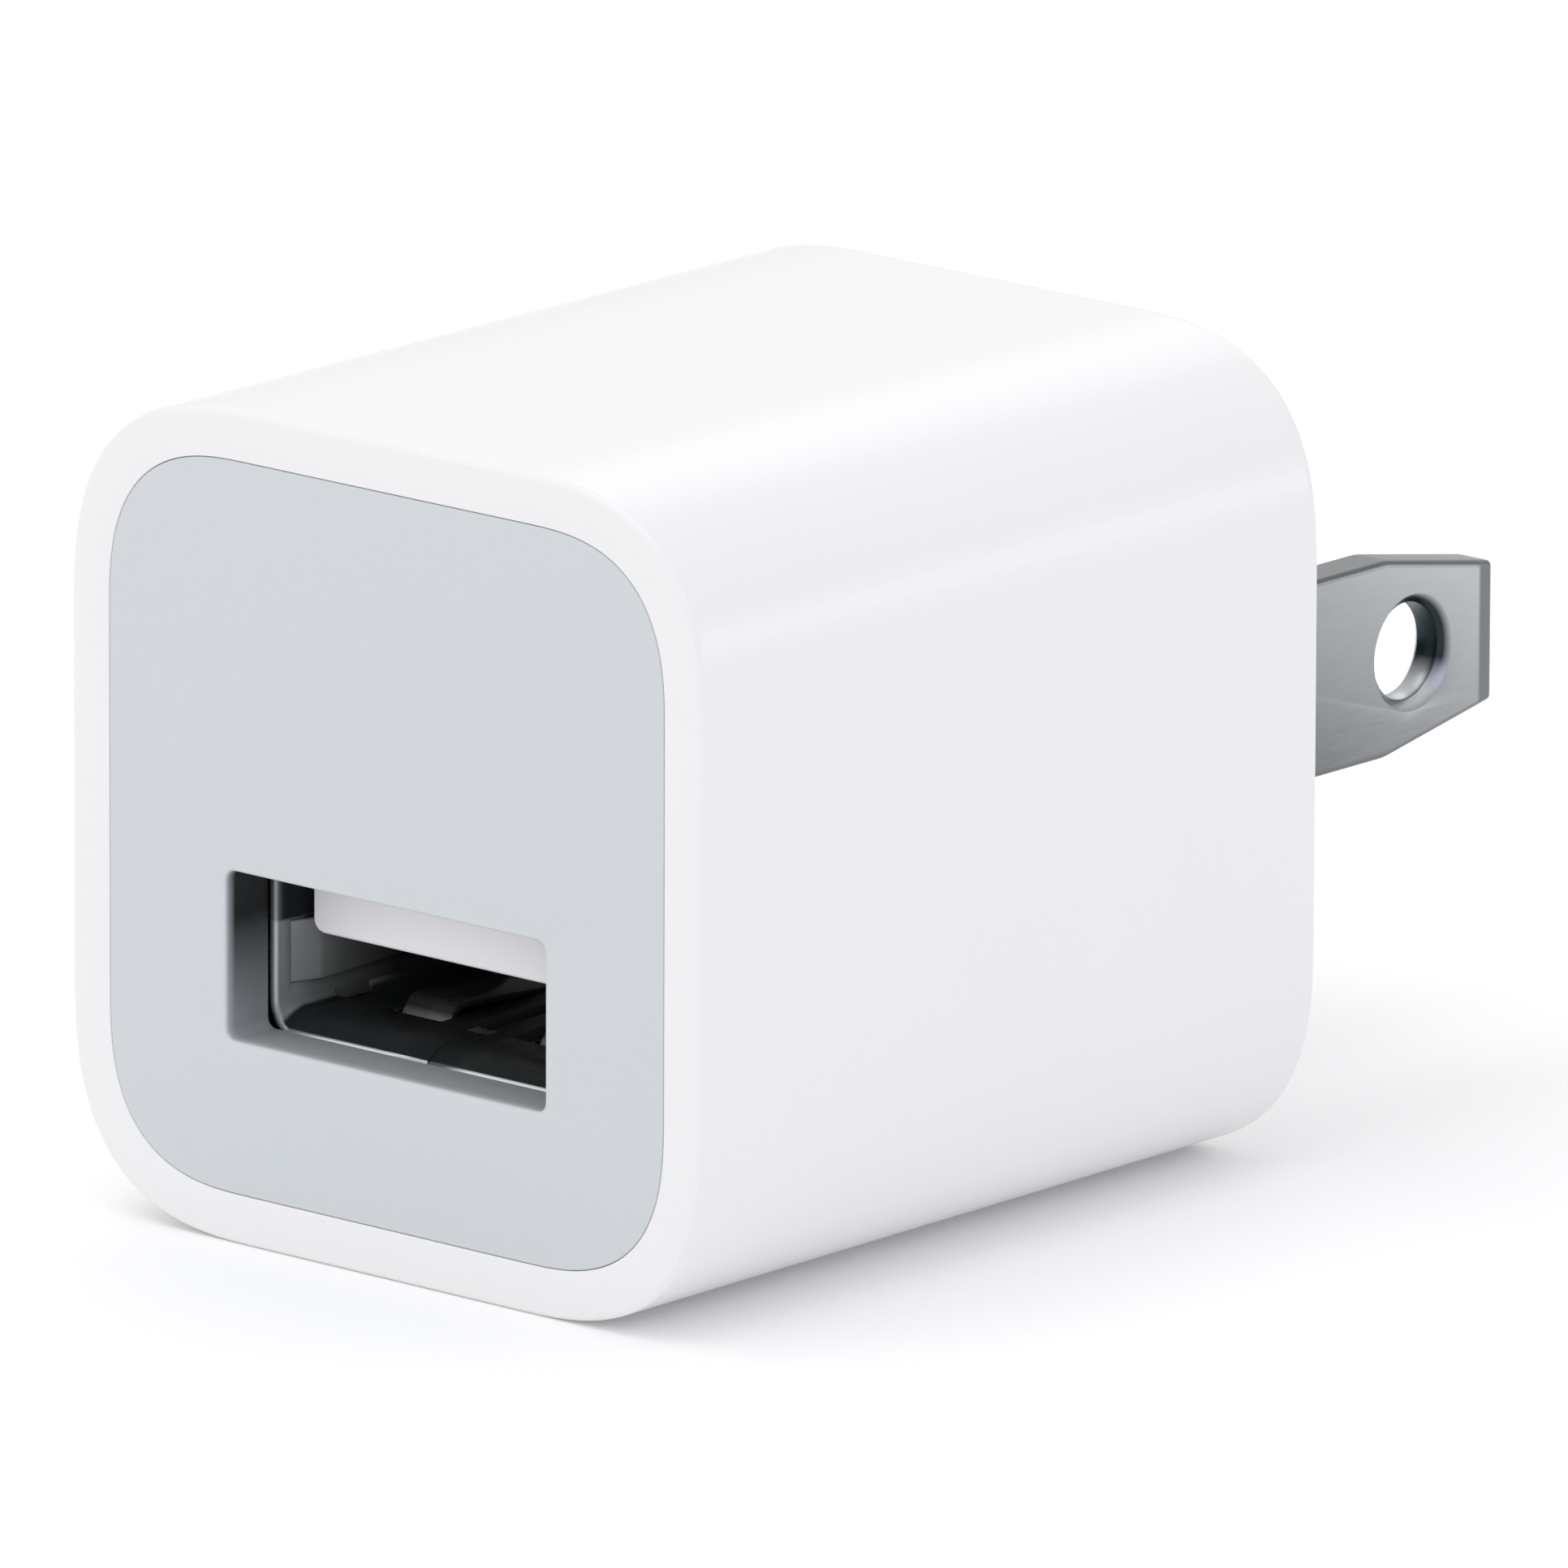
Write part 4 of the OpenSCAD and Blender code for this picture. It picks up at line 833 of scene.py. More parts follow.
holder = {"width": 19.2, "height": 9.2, "depth": 2.9, "cornerR": 1.2, "slotGap": 0.04}
contactStrip = {"width": 3.0, "thickness": 0.4, "tabWidth": 1.0, "shoulder": 8.6, "rivetR": 0.9,
                "rivetHeight": 0.5}
board = {"thickness": 1.0, "leadHoleR": 0.4, "leadD": 0.5, "solderR": 0.68, "solderHeight": 0.5,
         "mainBottom": 8.6, "outputTop": -7.2}
header = {"x": -9.65, "y": (-19.4, -17.2, -15.0), "width": 1.3, "height": 2.4, "pin": 0.51}
transformer = {"at": (-2.6, -19.6), "width": 12.2, "coreDepth": 6.4, "bar": 1.7, "leg": 1.6,
               "flange": (8.2, 11.6), "flangeT": 0.6, "windingFrom": 2.27, "windingTo": 5.93,
               "tube": (4.6, 5.2),
               "bore": (3.3, 4.0), "pinPitch": 2.8, "pinRow": 4.9, "turns": 12,
               "winding": (8.0, 10.0, 2.0), "wrap": (8.6, 10.8, 2.4), "wrapInside": (8.04, 10.04, 2.02)}
coil = {"drumR": 1.3, "grooveR": 2.1, "grooveDepth": 0.5}
chips = {"bridge_rectifier": 2, "controller_chip": 4, "optocoupler": 2, "output_diode": 1}
chipLeg = {"thickness": 0.18, "reach": 0.9, "share": 0.4}
chipRows = {"main_board_chip_parts": [(-8, -12.4, 2, 0, 5, 0), (3.2, -23.8, 1.8, 0, 4, 0),
                                      (-3.2, -7.4, 2.6, 0, 2, 1)],
            "output_board_chip_parts": [(-4, -13, 2, 0, 5, 0), (0.3, -17, 0, -2, 4, 1),
                                        (0, -9.4, 0, 0, 1, 2)]}
chipSizes = ((1.2, 2.0, 0.6), (2.0, 1.2, 0.6), (2.9, 1.6, 1.1))  # along Y, along X, and the fuse
leads = {"input_capacitor_round": [(5.9, -15.25), (7.9, -15.25)],
         "input_capacitor_rear": [(-2.15, -9.95), (0.35, -9.95)],
         "input_capacitor_corner": [(-8.6, -9.95), (-6.1, -9.95)],
         "safety_capacitor": [(4.1, -11.1), (9.1, -11.1)],
         "fusible_resistor": [(9.0, -7.6)], "filter_inductor": [(3.3, -7.75), (5.3, -7.75)],
         "switch_transistor": [(4.4, -13.45), (6.7, -13.45), (9.0, -13.45)],
         "output_capacitor_large": [(4.2, -10.2), (6.2, -10.2)],
         "output_capacitor_small": [(-9.55, -23.2), (-8.05, -23.2)]}


boardMask = boardGreen()
solderTin = metalSheet("solderTin", (0.70, 0.71, 0.72), 0.3, 2)
ferriteGrey = moulding("ferriteGrey", (0.06, 0.06, 0.065), 0.62, 6.0, 0.012)
yellowTape = tape()
copperWire = wire()
blueCoat = moulding("blueCoat", (0.015, 0.09, 0.36), 0.16, 1.5, 0.03)
chipCeramic = moulding("chipCeramic", (0.30, 0.20, 0.12), 0.45, 8.0, 0.004)
chipEpoxy = moulding("chipEpoxy", (0.018, 0.018, 0.02), 0.55, 9.0, 0.006)


def leadGroup(name, node, bottom, top):
    # round leads at the places shared with the boards
    form = Form()
    for x, y in leads[node]:
        form.rod(board["leadD"], (x, y, bottom), (x, y, top))
    form.piece(name, solderTin, "tin_sheet")


def makeHolder():
    # a block whose two slots widen round the blades' ears
    low = boxOf("blade_holder")[0]
    grip, back = blade["earFrom"] - low[1] - holder["slotGap"], blade["earLength"] + 2 * holder["slotGap"]
    wide = (blade["earWidth"] - blade["width"]) / 2
    side = [(0.12, 0), (0.03, 0.03), (0, 0.12), (0, grip), (wide, grip), (wide, grip + back),
            (0, grip + back),
            (0, holder["depth"] - 0.12), (0.03, holder["depth"] - 0.03), (0.12, holder["depth"])]
    holes = [(roundedOutline(blade["thickness"] + 0.08, blade["width"] + 0.08, 0.05, steps=2,
                             centre=(sideX * blade["pitch"] / 2, blade["z"])), side) for sideX in (-1, 1)]
    form = Form()
    form.slab(roundedOutline(holder["width"], holder["height"], holder["cornerR"]),
              softSide(holder["depth"], 0.2),
              axesXZ, (0, low[1], 0), holes)
    form.piece("bladeHolder", blackMoulding, "black_moulding", nodes=["blade_holder"])


def makeContactStrip(name, node):
    low, high, middle = boxOf(node)
    w, tab, x = contactStrip["width"] / 2, contactStrip["tabWidth"] / 2, middle[0]
    half = [(w, low[2]), (w, contactStrip["shoulder"]), (tab, contactStrip["shoulder"]), (tab, high[2])]
    outline = bentPath(half + [(-u, z) for u, z in half[::-1]], [0.5, 0.25, 0.15, 0.2, 0.2, 0.15, 0.25, 0.5])
    form = Form()
    backFace = high[1] - contactStrip["thickness"]
    form.slab(outline, softSide(contactStrip["thickness"], 0.06), axesXZ, (x, backFace, 0))
    r, h = contactStrip["rivetR"], contactStrip["rivetHeight"]
    a = np.linspace(0, math.pi / 2, 7)
    form.turned([(0, -0.05), (r, -0.05), *zip(r * np.cos(a), h * np.sin(a))], (x, backFace, 0),
                ((1, 0, 0), (0, 0, 1), (0, -1, 0)))
    form.piece(name, stripBrass, "brass_strip", nodes=[node])


def makeBoard(name, node, cornerR, holes, slots, notches, solderName, solderZ, way):
    # the board is a slab with a hole for each lead; solder rises round each lead,
    # r = lead + (foot - lead) * (1 - t) ^ 2
    low, high, _ = boxOf(node)
    form = Form()
    cuts = [(circleOutline(board["leadHoleR"], at, 16), softSide(board["thickness"], 0.05)) for at in holes]
    cuts += [(roundedOutline(w, d, 0.15, centre=(x, y)), softSide(board["thickness"], 0.05))
             for x, y, w, d in slots]
    rear = [(x + dx, high[1] - dy) for x in notches for dx, dy in ((0.7, 0), (0.7, 1), (-0.7, 1), (-0.7, 0))]
    outline = bentPath([(low[0], low[1]), (high[0], low[1]), (high[0], high[1]), *rear, (low[0], high[1])],
                       [cornerR] * 3 + [0.15] * len(rear) + [cornerR])
    form.slab(outline, softSide(board["thickness"], 0.06), axesXY, (0, 0, low[2]), cuts)
    form.piece(name, boardMask, "board_green", nodes=[node])
    solder = Form()
    t = np.linspace(0, 1, 6)
    cone = (board["leadD"] / 2 + 0.02) + (board["solderR"] - board["leadD"] / 2) * (1 - t) ** 2
    for x, y in holes:
        solder.turned([(0, 0), *zip(cone, 0.02 + t * board["solderHeight"]),
                       (0, board["solderHeight"] + 0.02)],
                      (x, y, solderZ), ((1, 0, 0), (0, way, 0), (0, 0, way)), 20)
    solder.piece(solderName, solderTin, "tin_sheet")


def makeHeader():
    low, high, _ = boxOf("link_header")
    w, ys = header["width"] / 2, header["y"]
    notch = [(w - 0.2, (a + b) / 2) for a, b in zip(ys, ys[1:])]
    right = [(w, low[1])] + [p for x, y in notch
                             for p in ((w, y - 0.3), (x, y - 0.1), (x, y + 0.1), (w, y + 0.3))]
    right.append((w, high[1]))
    outline = np.array(right + [(-x, y) for x, y in right[::-1]]) + [header["x"], 0]
    holes = [(roundedOutline(header["pin"] + 0.1, header["pin"] + 0.1, 0.05, steps=2,
                             centre=(header["x"], y)),
              softSide(header["height"], 0.05)) for y in ys]
    form = Form()
    form.slab(outline, softSide(header["height"], 0.08), axesXY, (0, 0, low[2]), holes)
    form.piece("linkHeader", blackMoulding, "black_moulding", nodes=["link_header"])
    low, high, _ = boxOf("link_pins")
    pins = Form()
    for y in ys:
        pins.slab(roundedOutline(header["pin"], header["pin"], 0.05, steps=2, centre=(header["x"], y)),
                  [(0.14, 0), (0, 0.3), (0, high[2] - low[2] - 0.3), (0.14, high[2] - low[2])], axesXY,
                  (0, 0, low[2]))
    pins.piece("linkPins", contactGold, "gold_contact", nodes=["link_pins"])


def makeBarrier():
    low, high, middle = boxOf("barrier_sheet")
    form = Form()
    form.slab(roundedOutline(high[0] - low[0], high[1] - low[1], 0.8, centre=middle[:2]),
              softSide(high[2] - low[2], 0.05), axesXY, (0, 0, low[2]))
    form.piece("barrierSheet", yellowTape, "yellow_tape", nodes=["barrier_sheet"])


def makeTransformer():
    tr = transformer
    x0, y0 = tr["at"]
    low, high, _ = boxOf("transformer_core")
    w, half = tr["width"] / 2, (high[2] - low[2]) / 2 - 0.03
    core = Form()
    for base, way in ((low[2], 1), (high[2], -1)):  # each half is an arch with a leg in its middle
        inner = w - tr["leg"]
        arch = bentPath([(-w, 0), (w, 0), (w, half), (inner, half), (inner, tr["bar"]), (-inner, tr["bar"]),
                         (-inner, half), (-w, half)], [0.5, 0.5, 0.08, 0.08, 0.25, 0.25, 0.08, 0.08], 4)
        core.slab(arch, softSide(tr["coreDepth"], 0.15), ((1, 0, 0), (0, 0, way), (0, 1, 0)),
                  (x0, y0 - tr["coreDepth"] / 2, base))
        core.slab(roundedOutline(tr["bore"][0] - 0.1, tr["bore"][1] - 0.1, 0.4, centre=(x0, y0)),
                  softSide(half - 0.2, 0.05), ((1, 0, 0), (0, 1, 0), (0, 0, way)), (0, 0, base + way * 0.2))
    core.piece("transformerCore", ferriteGrey, "ferrite", nodes=["transformer_core"])
    bore = roundedOutline(*tr["bore"], 0.3, centre=(x0, y0))
    bobbin = Form()
    z0, z1, t = tr["windingFrom"] - 0.02, tr["windingTo"] + 0.02, tr["flangeT"]
    for z in (z0 - t, z1):
        bobbin.slab(roundedOutline(*tr["flange"], 0.6, centre=(x0, y0)), softSide(t, 0.08), axesXY, (0, 0, z),
                    [(bore, softSide(t, 0.05))])
    bobbin.slab(roundedOutline(*tr["tube"], 0.3, centre=(x0, y0)), softSide(z1 - z0, 0.02), axesXY,
                (0, 0, z0),
                [(bore, softSide(z1 - z0, 0.02))])
    for sideY in (-1, 1):
        outline = roundedOutline(tr["flange"][0], 1.6, 0.15, centre=(x0, y0 + sideY * 5.0))
        row = [(circleOutline(0.27, at, 12), softSide(2.3, 0.03))
               for at in bobbinLeads if (at[1] - y0) * sideY > 0]
        bobbin.slab(outline, softSide(2.3, 0.1), axesXY, (0, 0, board["mainBottom"] - 2.35), row)
    bobbin.piece("transformerBobbin", blackMoulding, "black_moulding", nodes=["transformer_bobbin"])
    low, high, _ = boxOf("transformer_pins")
    legs = Form()
    for x, y in bobbinLeads:
        legs.rod(board["leadD"], (x, y, low[2]), (x, y, high[2]))
    legs.piece("transformerPins", solderTin, "tin_sheet", nodes=["transformer_pins"])
    # the winding's side runs in half circles, one for each turn
    low, high, _ = boxOf("transformer_winding")
    height = high[2] - low[2]
    a = np.linspace(0, math.pi, 5)
    pitch = height / tr["turns"]
    turns = [(pitch / 2 * (1 - math.sin(u)), pitch * (i + (1 - math.cos(u)) / 2)) for i in range(tr["turns"])
             for u in a]
    winding = Form()
    winding.slab(roundedOutline(*tr["winding"], centre=(x0, y0)), turns, axesXY, (0, 0, low[2]),
                 [(roundedOutline(tr["tube"][0] + 0.04, tr["tube"][1] + 0.04, 0.3, centre=(x0, y0)),
                   softSide(height, 0.05))])
    winding.piece("transformerWinding", copperWire, "copper_wire", nodes=["transformer_winding"], sharp=60)
    wrap = Form()
    wrap.slab(roundedOutline(*tr["wrap"], centre=(x0, y0)), softSide(height, 0.08), axesXY, (0, 0, low[2]),
              [(roundedOutline(*tr["wrapInside"], centre=(x0, y0)), softSide(height, 0.05))])
    wrap.piece("transformerTape", yellowTape, "yellow_tape", nodes=["transformer_tape"])


def canProfile(d, length):
    # (radius, height) from the vented end to the sealed end; the crimp is a dip of 0.25 * (1 + cos(a)) /
    # 2
    r = d / 2
    a = np.linspace(-math.pi, math.pi, 9)
    crimp = [(r - 0.125 * (1 + math.cos(u)), length - 1.5 + 0.45 * u / math.pi) for u in a]
    return [(0, 0.14), (r - 0.68, 0.14), (r - 0.62, 0.02), (r - 0.55, 0), (r - 0.3, 0), (r - 0.1, 0.1),
            (r, 0.32),
            *crimp, (r, length - 0.32), (r - 0.1, length - 0.1), (r - 0.3, length), (r - 0.6, length),
            (r - 0.7, length - 0.25), (0, length - 0.25)]


def makeCan(name, node, d, length, material, slot, way=1):
    # way is 1 for a can that hangs with its vented end down, and -1 for one that stands with it up
    low, high, middle = boxOf(node)
    x, y = middle[:2]
    end = board["mainBottom"] - 0.4 - length if way > 0 else board["outputTop"] + 0.1 + length
    form = Form()
    form.turned(canProfile(d, length), (x, y, end), ((1, 0, 0), (0, way, 0), (0, 0, way)), 48)
    form.piece(name, material, slot, nodes=[node])
    if way > 0:
        leadGroup(name + "Leads", node, board["mainBottom"] - 0.7, high[2])
    else:
        leadGroup(name + "Leads", node, low[2], board["outputTop"] + 0.4)


roundCan = {"d": 5.8, "z": 5.2, "length": 10.6, "x": 6.9}
resistor = {"at": (9.2, -7.6), "r": 1.25, "waist": 1.05, "length": 6.4}
disc = {"at": (6.6, -11.1, 4.4), "r": 3.5, "halfThickness": 1.2, "rim": 1.1}
transistor = {"halfWidth": 3.7, "y": -13.85, "top": 7.2, "thickness": 2.2, "holeR": 1.1, "holeUp": 2}


def makeRoundCan():
    # lies along the depth, and its leads turn up to the board
    low, high, _ = boxOf("input_capacitor_round")
    d, z, length, x = (roundCan[key] for key in ("d", "z", "length", "x"))
    form = Form()
    form.turned(canProfile(d, length), (x, low[1], z), ((0, 0, 1), (1, 0, 0), (0, 1, 0)), 48)
    material = sleeve("roundSleeve", (0.012, 0.02, 0.085), (x, low[1], z), 1, d, (0.45, 0.5, 0.58))
    form.piece("inputCapacitorRound", material, "can_sleeve", nodes=["input_capacitor_round"])
    wires = Form()
    for leadX, leadY in leads["input_capacitor_round"]:
        path = bentPath([(low[1] + length - 0.3, z), (leadY, z), (leadY, high[2])], 0.5, 6, closed=False)
        wires.strip(path, board["leadD"], board["leadD"], axesYZ, (leadX, 0, 0), board["leadD"] / 2 - 0.01)
    wires.piece("inputCapacitorRoundLeads", solderTin, "tin_sheet")


def makeResistor():
    # a dumbbell turned about its lead: fat ends that slope down to a thinner waist
    low, high, _ = boxOf("fusible_resistor")
    r, waist, length = resistor["r"], resistor["waist"], resistor["length"]
    form = Form()
    half = [(0, 0), (0.8, 0), (1.1, 0.1), (r, 0.4), (r, 1.0), (r - 0.08, 1.3), (waist, 1.6)]
    form.turned(half + [(radius, length - h) for radius, h in half[::-1]],
                (*resistor["at"], low[2]), steps=40)
    form.piece("fusibleResistor", banded(low[2] + length / 2), "resistor_coat", nodes=["fusible_resistor"])
    leadGroup("fusibleResistorLead", "fusible_resistor", low[2] + length - 0.2, high[2])


def makeDisc():
    # a dipped disc: its side is an ellipse, and the coat runs a little way up each lead
    high = boxOf("safety_capacitor")[1]
    r, t, rim, z = disc["r"], disc["halfThickness"], disc["rim"], disc["at"][2]
    a = np.linspace(-math.pi / 2, math.pi / 2, 13)
    form = Form()
    form.turned([(0, -t), *zip(r - rim + rim * np.cos(a), t * np.sin(a)), (0, t)], disc["at"], axesXZ, 56)
    for leadX, leadY in leads["safety_capacitor"]:
        form.turned([(0, 0), (0.7, 0), (0.55, 1.6), (0.42, 2.6), (0.3, 2.9), (0, 2.9)], (leadX, leadY, z),
                    steps=20)
    form.piece("safetyCapacitor", blueCoat, "blue_coat", nodes=["safety_capacitor"])
    leadGroup("safetyCapacitorLeads", "safety_capacitor", z + 1, high[2])


def makeTransistor():
    low, high, middle = boxOf("switch_transistor")
    w, t, top = transistor["halfWidth"], transistor["thickness"], transistor["top"]
    outline = bentPath([(-w, low[2]), (w, low[2]), (w, top), (-w, top)], [0.5, 0.5, 0.2, 0.2])
    hole = circleOutline(transistor["holeR"], (0, low[2] + transistor["holeUp"]), 32)
    form = Form()
    form.slab(outline, softSide(t, 0.18), axesXZ, (middle[0], transistor["y"] - t / 2, 0),
              [(hole, softSide(t, 0.12))])
    form.piece("switchTransistor", chipEpoxy, "black_moulding", nodes=["switch_transistor"])
    leadGroup("switchTransistorLeads", "switch_transistor", top - 0.5, high[2])


def makeChip(name, node, count):
    # a body with drafted sides, and gull-wing legs: out of the side, down to the board and outwards
    low, high, middle = boxOf(node)
    way = -1 if node == "output_diode" else 1
    face = high[2] if way < 0 else low[2]
    length, width, height = high[0] - low[0], high[1] - low[1] - 2 * chipLeg["reach"], high[2] - low[2] - 0.08
    axes = ((1, 0, 0), (0, way, 0), (0, 0, way))
    form = Form()
    side = [(0.22, 0), (0.1, 0.1), (0, height * 0.45), (0, height * 0.55), (0.1, height - 0.1),
            (0.22, height)]
    form.slab(roundedOutline(length, width, 0.08, steps=2, centre=(middle[0], way * middle[1])), side, axes,
              (0, 0, face + way * 0.08))
    form.piece(name, chipEpoxy, "black_moulding", nodes=[node])
    legs = Form()
    pitch = length / count
    for sideY in (-1, 1):
        path = bentPath([(width / 2 - 0.1, 0.62), (width / 2 + 0.26, 0.62), (width / 2 + 0.4, 0.1),
                         (width / 2 + chipLeg["reach"] - 0.02, 0.1)], 0.14, 3, closed=False)
        for i in range(count):
            legs.strip(path, pitch * chipLeg["share"], chipLeg["thickness"],
                       ((0, sideY, 0), (0, 0, way), (1, 0, 0)), (low[0] + pitch * (i + 0.5), middle[1], face))
    legs.piece(name + "Legs", solderTin, "tin_sheet")


def makeCoil():
    low, high, middle = boxOf("output_inductor")
    size, down = high - low, ((1, 0, 0), (0, -1, 0), (0, 0, -1))
    form = Form()
    outline = roundedOutline(size[0], size[1], 0.4, centre=(middle[0], -middle[1]))
    form.slab(outline, softSide(size[2] - coil["grooveDepth"], 0.1, 0.02), down, (0, 0, high[2]))
    depth, base = coil["grooveDepth"] + 0.05, low[2] + coil["grooveDepth"] + 0.05
    form.slab(outline, softSide(depth, 0.02, 0.12), down, (0, 0, base),
              [(circleOutline(coil["grooveR"], (middle[0], -middle[1]), 48), softSide(depth, 0.02, 0.08))])
    form.turned([(0, 0), (coil["drumR"], 0), (coil["drumR"], depth - 0.1), (coil["drumR"] - 0.1, depth),
                 (0, depth)],
                (middle[0], middle[1], base), down, 40)
    form.piece("outputInductor", ferriteCoil(middle), "ferrite", nodes=["output_inductor"])


def makeChipRows(name, node):
    # small bodies in rows, each with a metal cap over both ends
    low, high, _ = boxOf(node)
    above = node.startswith("main")
    bodies, caps = Form(), Form()
    for x, y, stepX, stepY, count, kind in chipRows[node]:
        size = np.array(chipSizes[kind])
        along = 1 if kind == 0 else 0
        z = low[2] if above else high[2] - size[2]
        for i in range(count):
            centre = np.array([x + i * stepX, y + i * stepY])
            inner = size[:2].copy()
            inner[along] -= 0.3
            inner[1 - along] -= 0.06
            bodies.slab(roundedOutline(*inner, 0.06, steps=2, centre=centre),
                        softSide(size[2] - 0.06, 0.04, steps=2),
                        axesXY, (0, 0, z + 0.03))
            for end in (-1, 1):
                cap, place = size[:2].copy(), centre.copy()
                cap[along] *= 0.22
                place[along] += end * (size[along] - cap[along]) / 2
                caps.slab(roundedOutline(*cap, 0.07, steps=2, centre=place), softSide(size[2], 0.05, steps=2),
                          axesXY, (0, 0, z))
    bodies.piece(name, chipCeramic, "chip_ceramic", nodes=[node])
    caps.piece(name + "Ends", solderTin, "tin_sheet")


mainLeads = [at for node in ("input_capacitor_round", "input_capacitor_rear", "input_capacitor_corner",
                             "safety_capacitor", "fusible_resistor", "filter_inductor", "switch_transistor")
             for at in leads[node]]
bobbinLeads = [(transformer["at"][0] + i * transformer["pinPitch"],
                transformer["at"][1] + sideY * transformer["pinRow"])
               for sideY in (-1, 1) for i in (-1, 0, 1)]
headerLeads = [(header["x"], y) for y in header["y"]]
outputLeads = leads["output_capacitor_large"] + leads["output_capacitor_small"]
contactY = boxOf("contact_leads")[1][1] - contact["thickness"] / 2
legSlots = [(sideX * (socket["width"] + socket["sheet"]) / 2, socket["front"] + s, 0.8,
             socket["legLength"] + 0.5)
            for sideX in (-1, 1) for s in socket["legs"]]

makeHolder()
makeContactStrip("contactStripLeft", "contact_strip_left")
makeContactStrip("contactStripRight", "contact_strip_right")
makeBoard("mainBoard", "main_board", 1.5, mainLeads + bobbinLeads + headerLeads,
          [], (blade["pitch"] / 2, -blade["pitch"] / 2), "mainBoardSolder",
          board["mainBottom"] + board["thickness"], 1)
makeBoard("outputBoard", "output_board", 1.0,
          outputLeads + headerLeads + [(x, contactY) for x in contact["x"]],
          legSlots, (), "outputBoardSolder", board["outputTop"] - board["thickness"], -1)
makeHeader()
makeBarrier()
makeTransformer()
print("boards and transformer made")
for name, node in (("inputCapacitorRear", "input_capacitor_rear"),
                   ("inputCapacitorCorner", "input_capacitor_corner")):
    low, high, middle = boxOf(node)
    material = sleeve(name[5:] + "Sleeve", (0.012, 0.02, 0.085), (middle[0], middle[1], low[2]), 2, 6.2,
                      (0.45, 0.5, 0.58))
    makeCan(name, node, 6.2, 11.0, material, "can_sleeve")
for name, node, d, length in (("outputCapacitorLarge", "output_capacitor_large", 5.0, 5.4),
                              ("outputCapacitorSmall", "output_capacitor_small", 3.9, 5.2)):
    low, high, middle = boxOf(node)
    material = bareCan(name[6:] + "Metal", (middle[0], middle[1], high[2] - 0.3), d)
    makeCan(name, node, d, length, material, "bare_can", -1)
makeRoundCan()
chokeMiddle = boxOf("filter_inductor")[2]
makeCan("filterInductor", "filter_inductor", 3.8, 6.1,
        sleeve("chokeSleeve", (0.01, 0.05, 0.022), chokeMiddle - [0, 0, 10], 2, 3.8, (0.015, 0.07, 0.03)),
        "choke_sleeve")
makeResistor()
makeDisc()
makeTransistor()
for node, count in chips.items():
    first, last = node.split("_")[0], node.split("_")[-1]
    makeChip(first + last.title() if first != last else first, node, count)
makeCoil()
makeChipRows("mainChipParts", "main_board_chip_parts")
makeChipRows("outputChipParts", "output_board_chip_parts")
print("components made")


# floor, light and camera

studio = {"sky": (1.0, 1.0, 1.0), "skyStrength": 0.82, "aim": (0, -0.015, 0),
          "lamps": {"overhead": {"at": (-0.1, -0.2, 0.9), "size": (0.9, 0.9), "glow": 1.05,
                                 "tint": (1, 1, 1)},
                    "frontLeft": {"at": (-0.55, -0.8, 0.3), "size": (0.5, 0.5), "glow": 0.7,
                                  "tint": (1, 1, 1)},
                    "right": {"at": (0.9, -0.3, 0.5), "size": (0.6, 0.5), "glow": 0.9,
                              "tint": (0.57, 0.53, 1)},
                    "backBroad": {"at": (-0.45, 0.73, 0.52), "size": (0.55, 0.42), "glow": 0.6,
                                  "tint": (1, 1, 1)},
                    "backStrip": {"at": (0.68, 0.73, 0.1), "size": (0.3, 0.1), "glow": 2.4,
                                  "tint": (1, 1, 1)}}}
view = {"azimuth": 41.133, "elevation": 14.482, "roll": 0.204, "distance": 0.8827, "right": 0.002728,
        "up": -0.000301, "lens": 641.7}


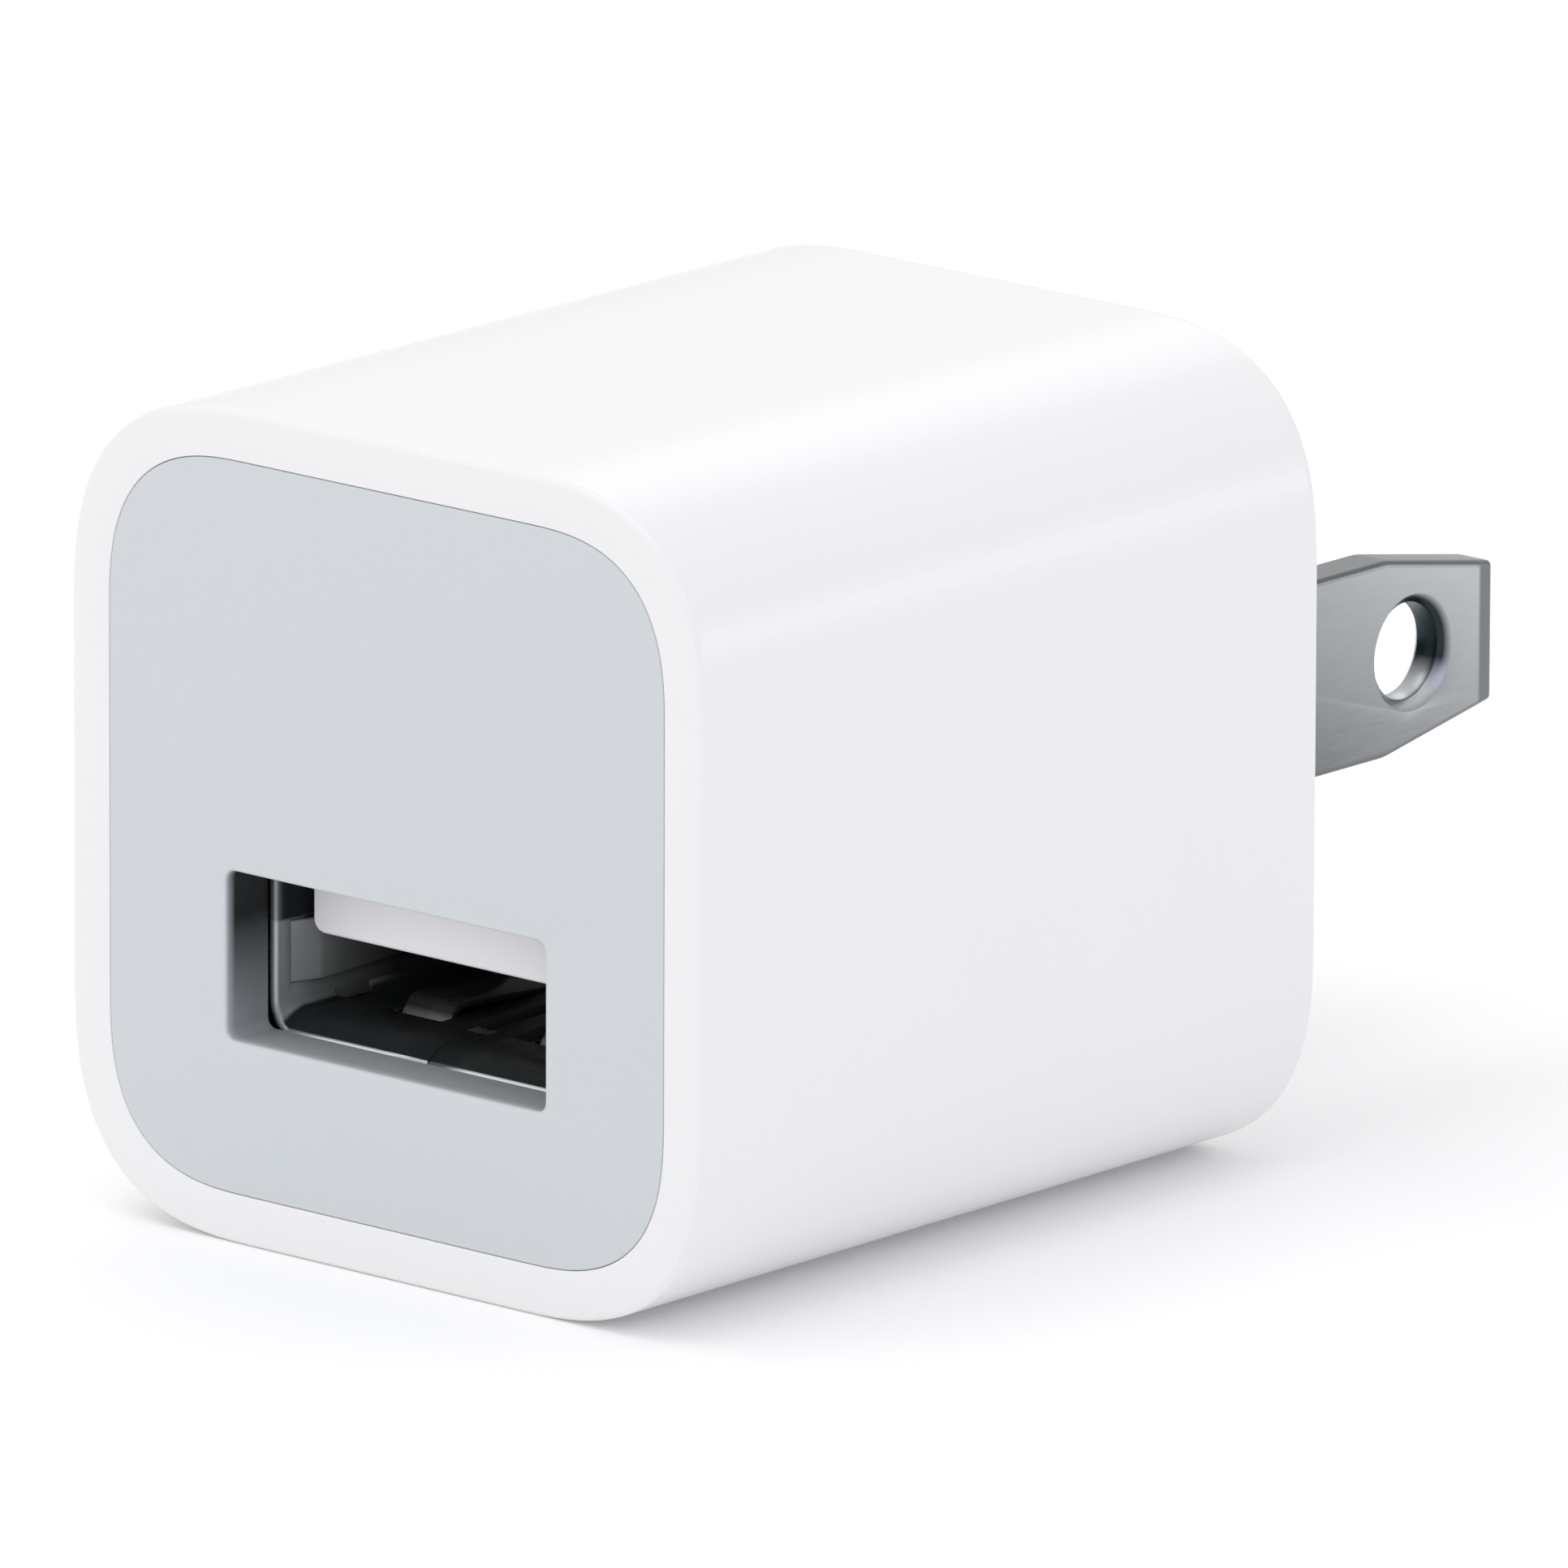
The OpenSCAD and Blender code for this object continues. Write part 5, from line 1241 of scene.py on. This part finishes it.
def makeStudio():
    scene = bpy.context.scene
    floorMesh = bpy.data.meshes.new("floor")
    z = shellLow[2] * mm
    floorMesh.from_pydata([(-3, -3, z), (3, -3, z), (3, 3, z), (-3, 3, z)], [], [(0, 1, 2, 3)])
    floor = bpy.data.objects.new("floor", floorMesh)
    floorPaint = Paint("paleFloor", Base_Color=(0.9, 0.9, 0.9, 1), Roughness=0.9, Emission_Color=(1, 1, 1, 1),
                       Emission_Strength=0.08)
    floorMesh.materials.append(floorPaint.material)
    scene.collection.objects.link(floor)
    world = bpy.data.worlds.new("studio")
    world.use_nodes = True
    sky = world.node_tree.nodes["Background"]
    sky.inputs["Color"].default_value = (*studio["sky"], 1)
    sky.inputs["Strength"].default_value = studio["skyStrength"]
    scene.world = world
    for name, light in studio["lamps"].items():
        lamp = bpy.data.lights.new(name, "AREA")
        lamp.shape, lamp.size, lamp.size_y = "RECTANGLE", *light["size"]
        lamp.color = light["tint"]
        lamp.energy = light["glow"] * math.pi * light["size"][0] * light["size"][1]
        holder = bpy.data.objects.new(name, lamp)
        holder.location = light["at"]
        holder.rotation_euler = (Vector(studio["aim"]) - Vector(light["at"])).to_track_quat("-Z",
                                                                                            "Y").to_euler()
        scene.collection.objects.link(holder)


def makeCamera():
    # the camera looks along -back from the middle of the casing, turned by a small roll and shifted
    # sideways
    azimuth, elevation, roll = (math.radians(view[key]) for key in ("azimuth", "elevation", "roll"))
    back = Vector((math.sin(azimuth) * math.cos(elevation), -math.cos(azimuth) * math.cos(elevation),
                   math.sin(elevation)))
    level = Vector((math.cos(azimuth), math.sin(azimuth), 0))
    rise = back.cross(level)
    right = level * math.cos(roll) + rise * math.sin(roll)
    up = rise * math.cos(roll) - level * math.sin(roll)
    camera = bpy.data.cameras.new("camera")
    camera.lens, camera.sensor_width, camera.clip_start = view["lens"], 36, 0.05
    holder = bpy.data.objects.new("camera", camera)
    turn = Matrix((right, up, back)).transposed().to_4x4()
    eye = Vector(shellMiddle * mm) + back * view["distance"] + right * view["right"] + up * view["up"]
    holder.matrix_world = Matrix.Translation(eye) @ turn
    bpy.context.scene.collection.objects.link(holder)
    bpy.context.scene.camera = holder


makeStudio()
makeCamera()
bpy.context.scene.view_settings.view_transform = "Standard"
print("studio and camera placed")
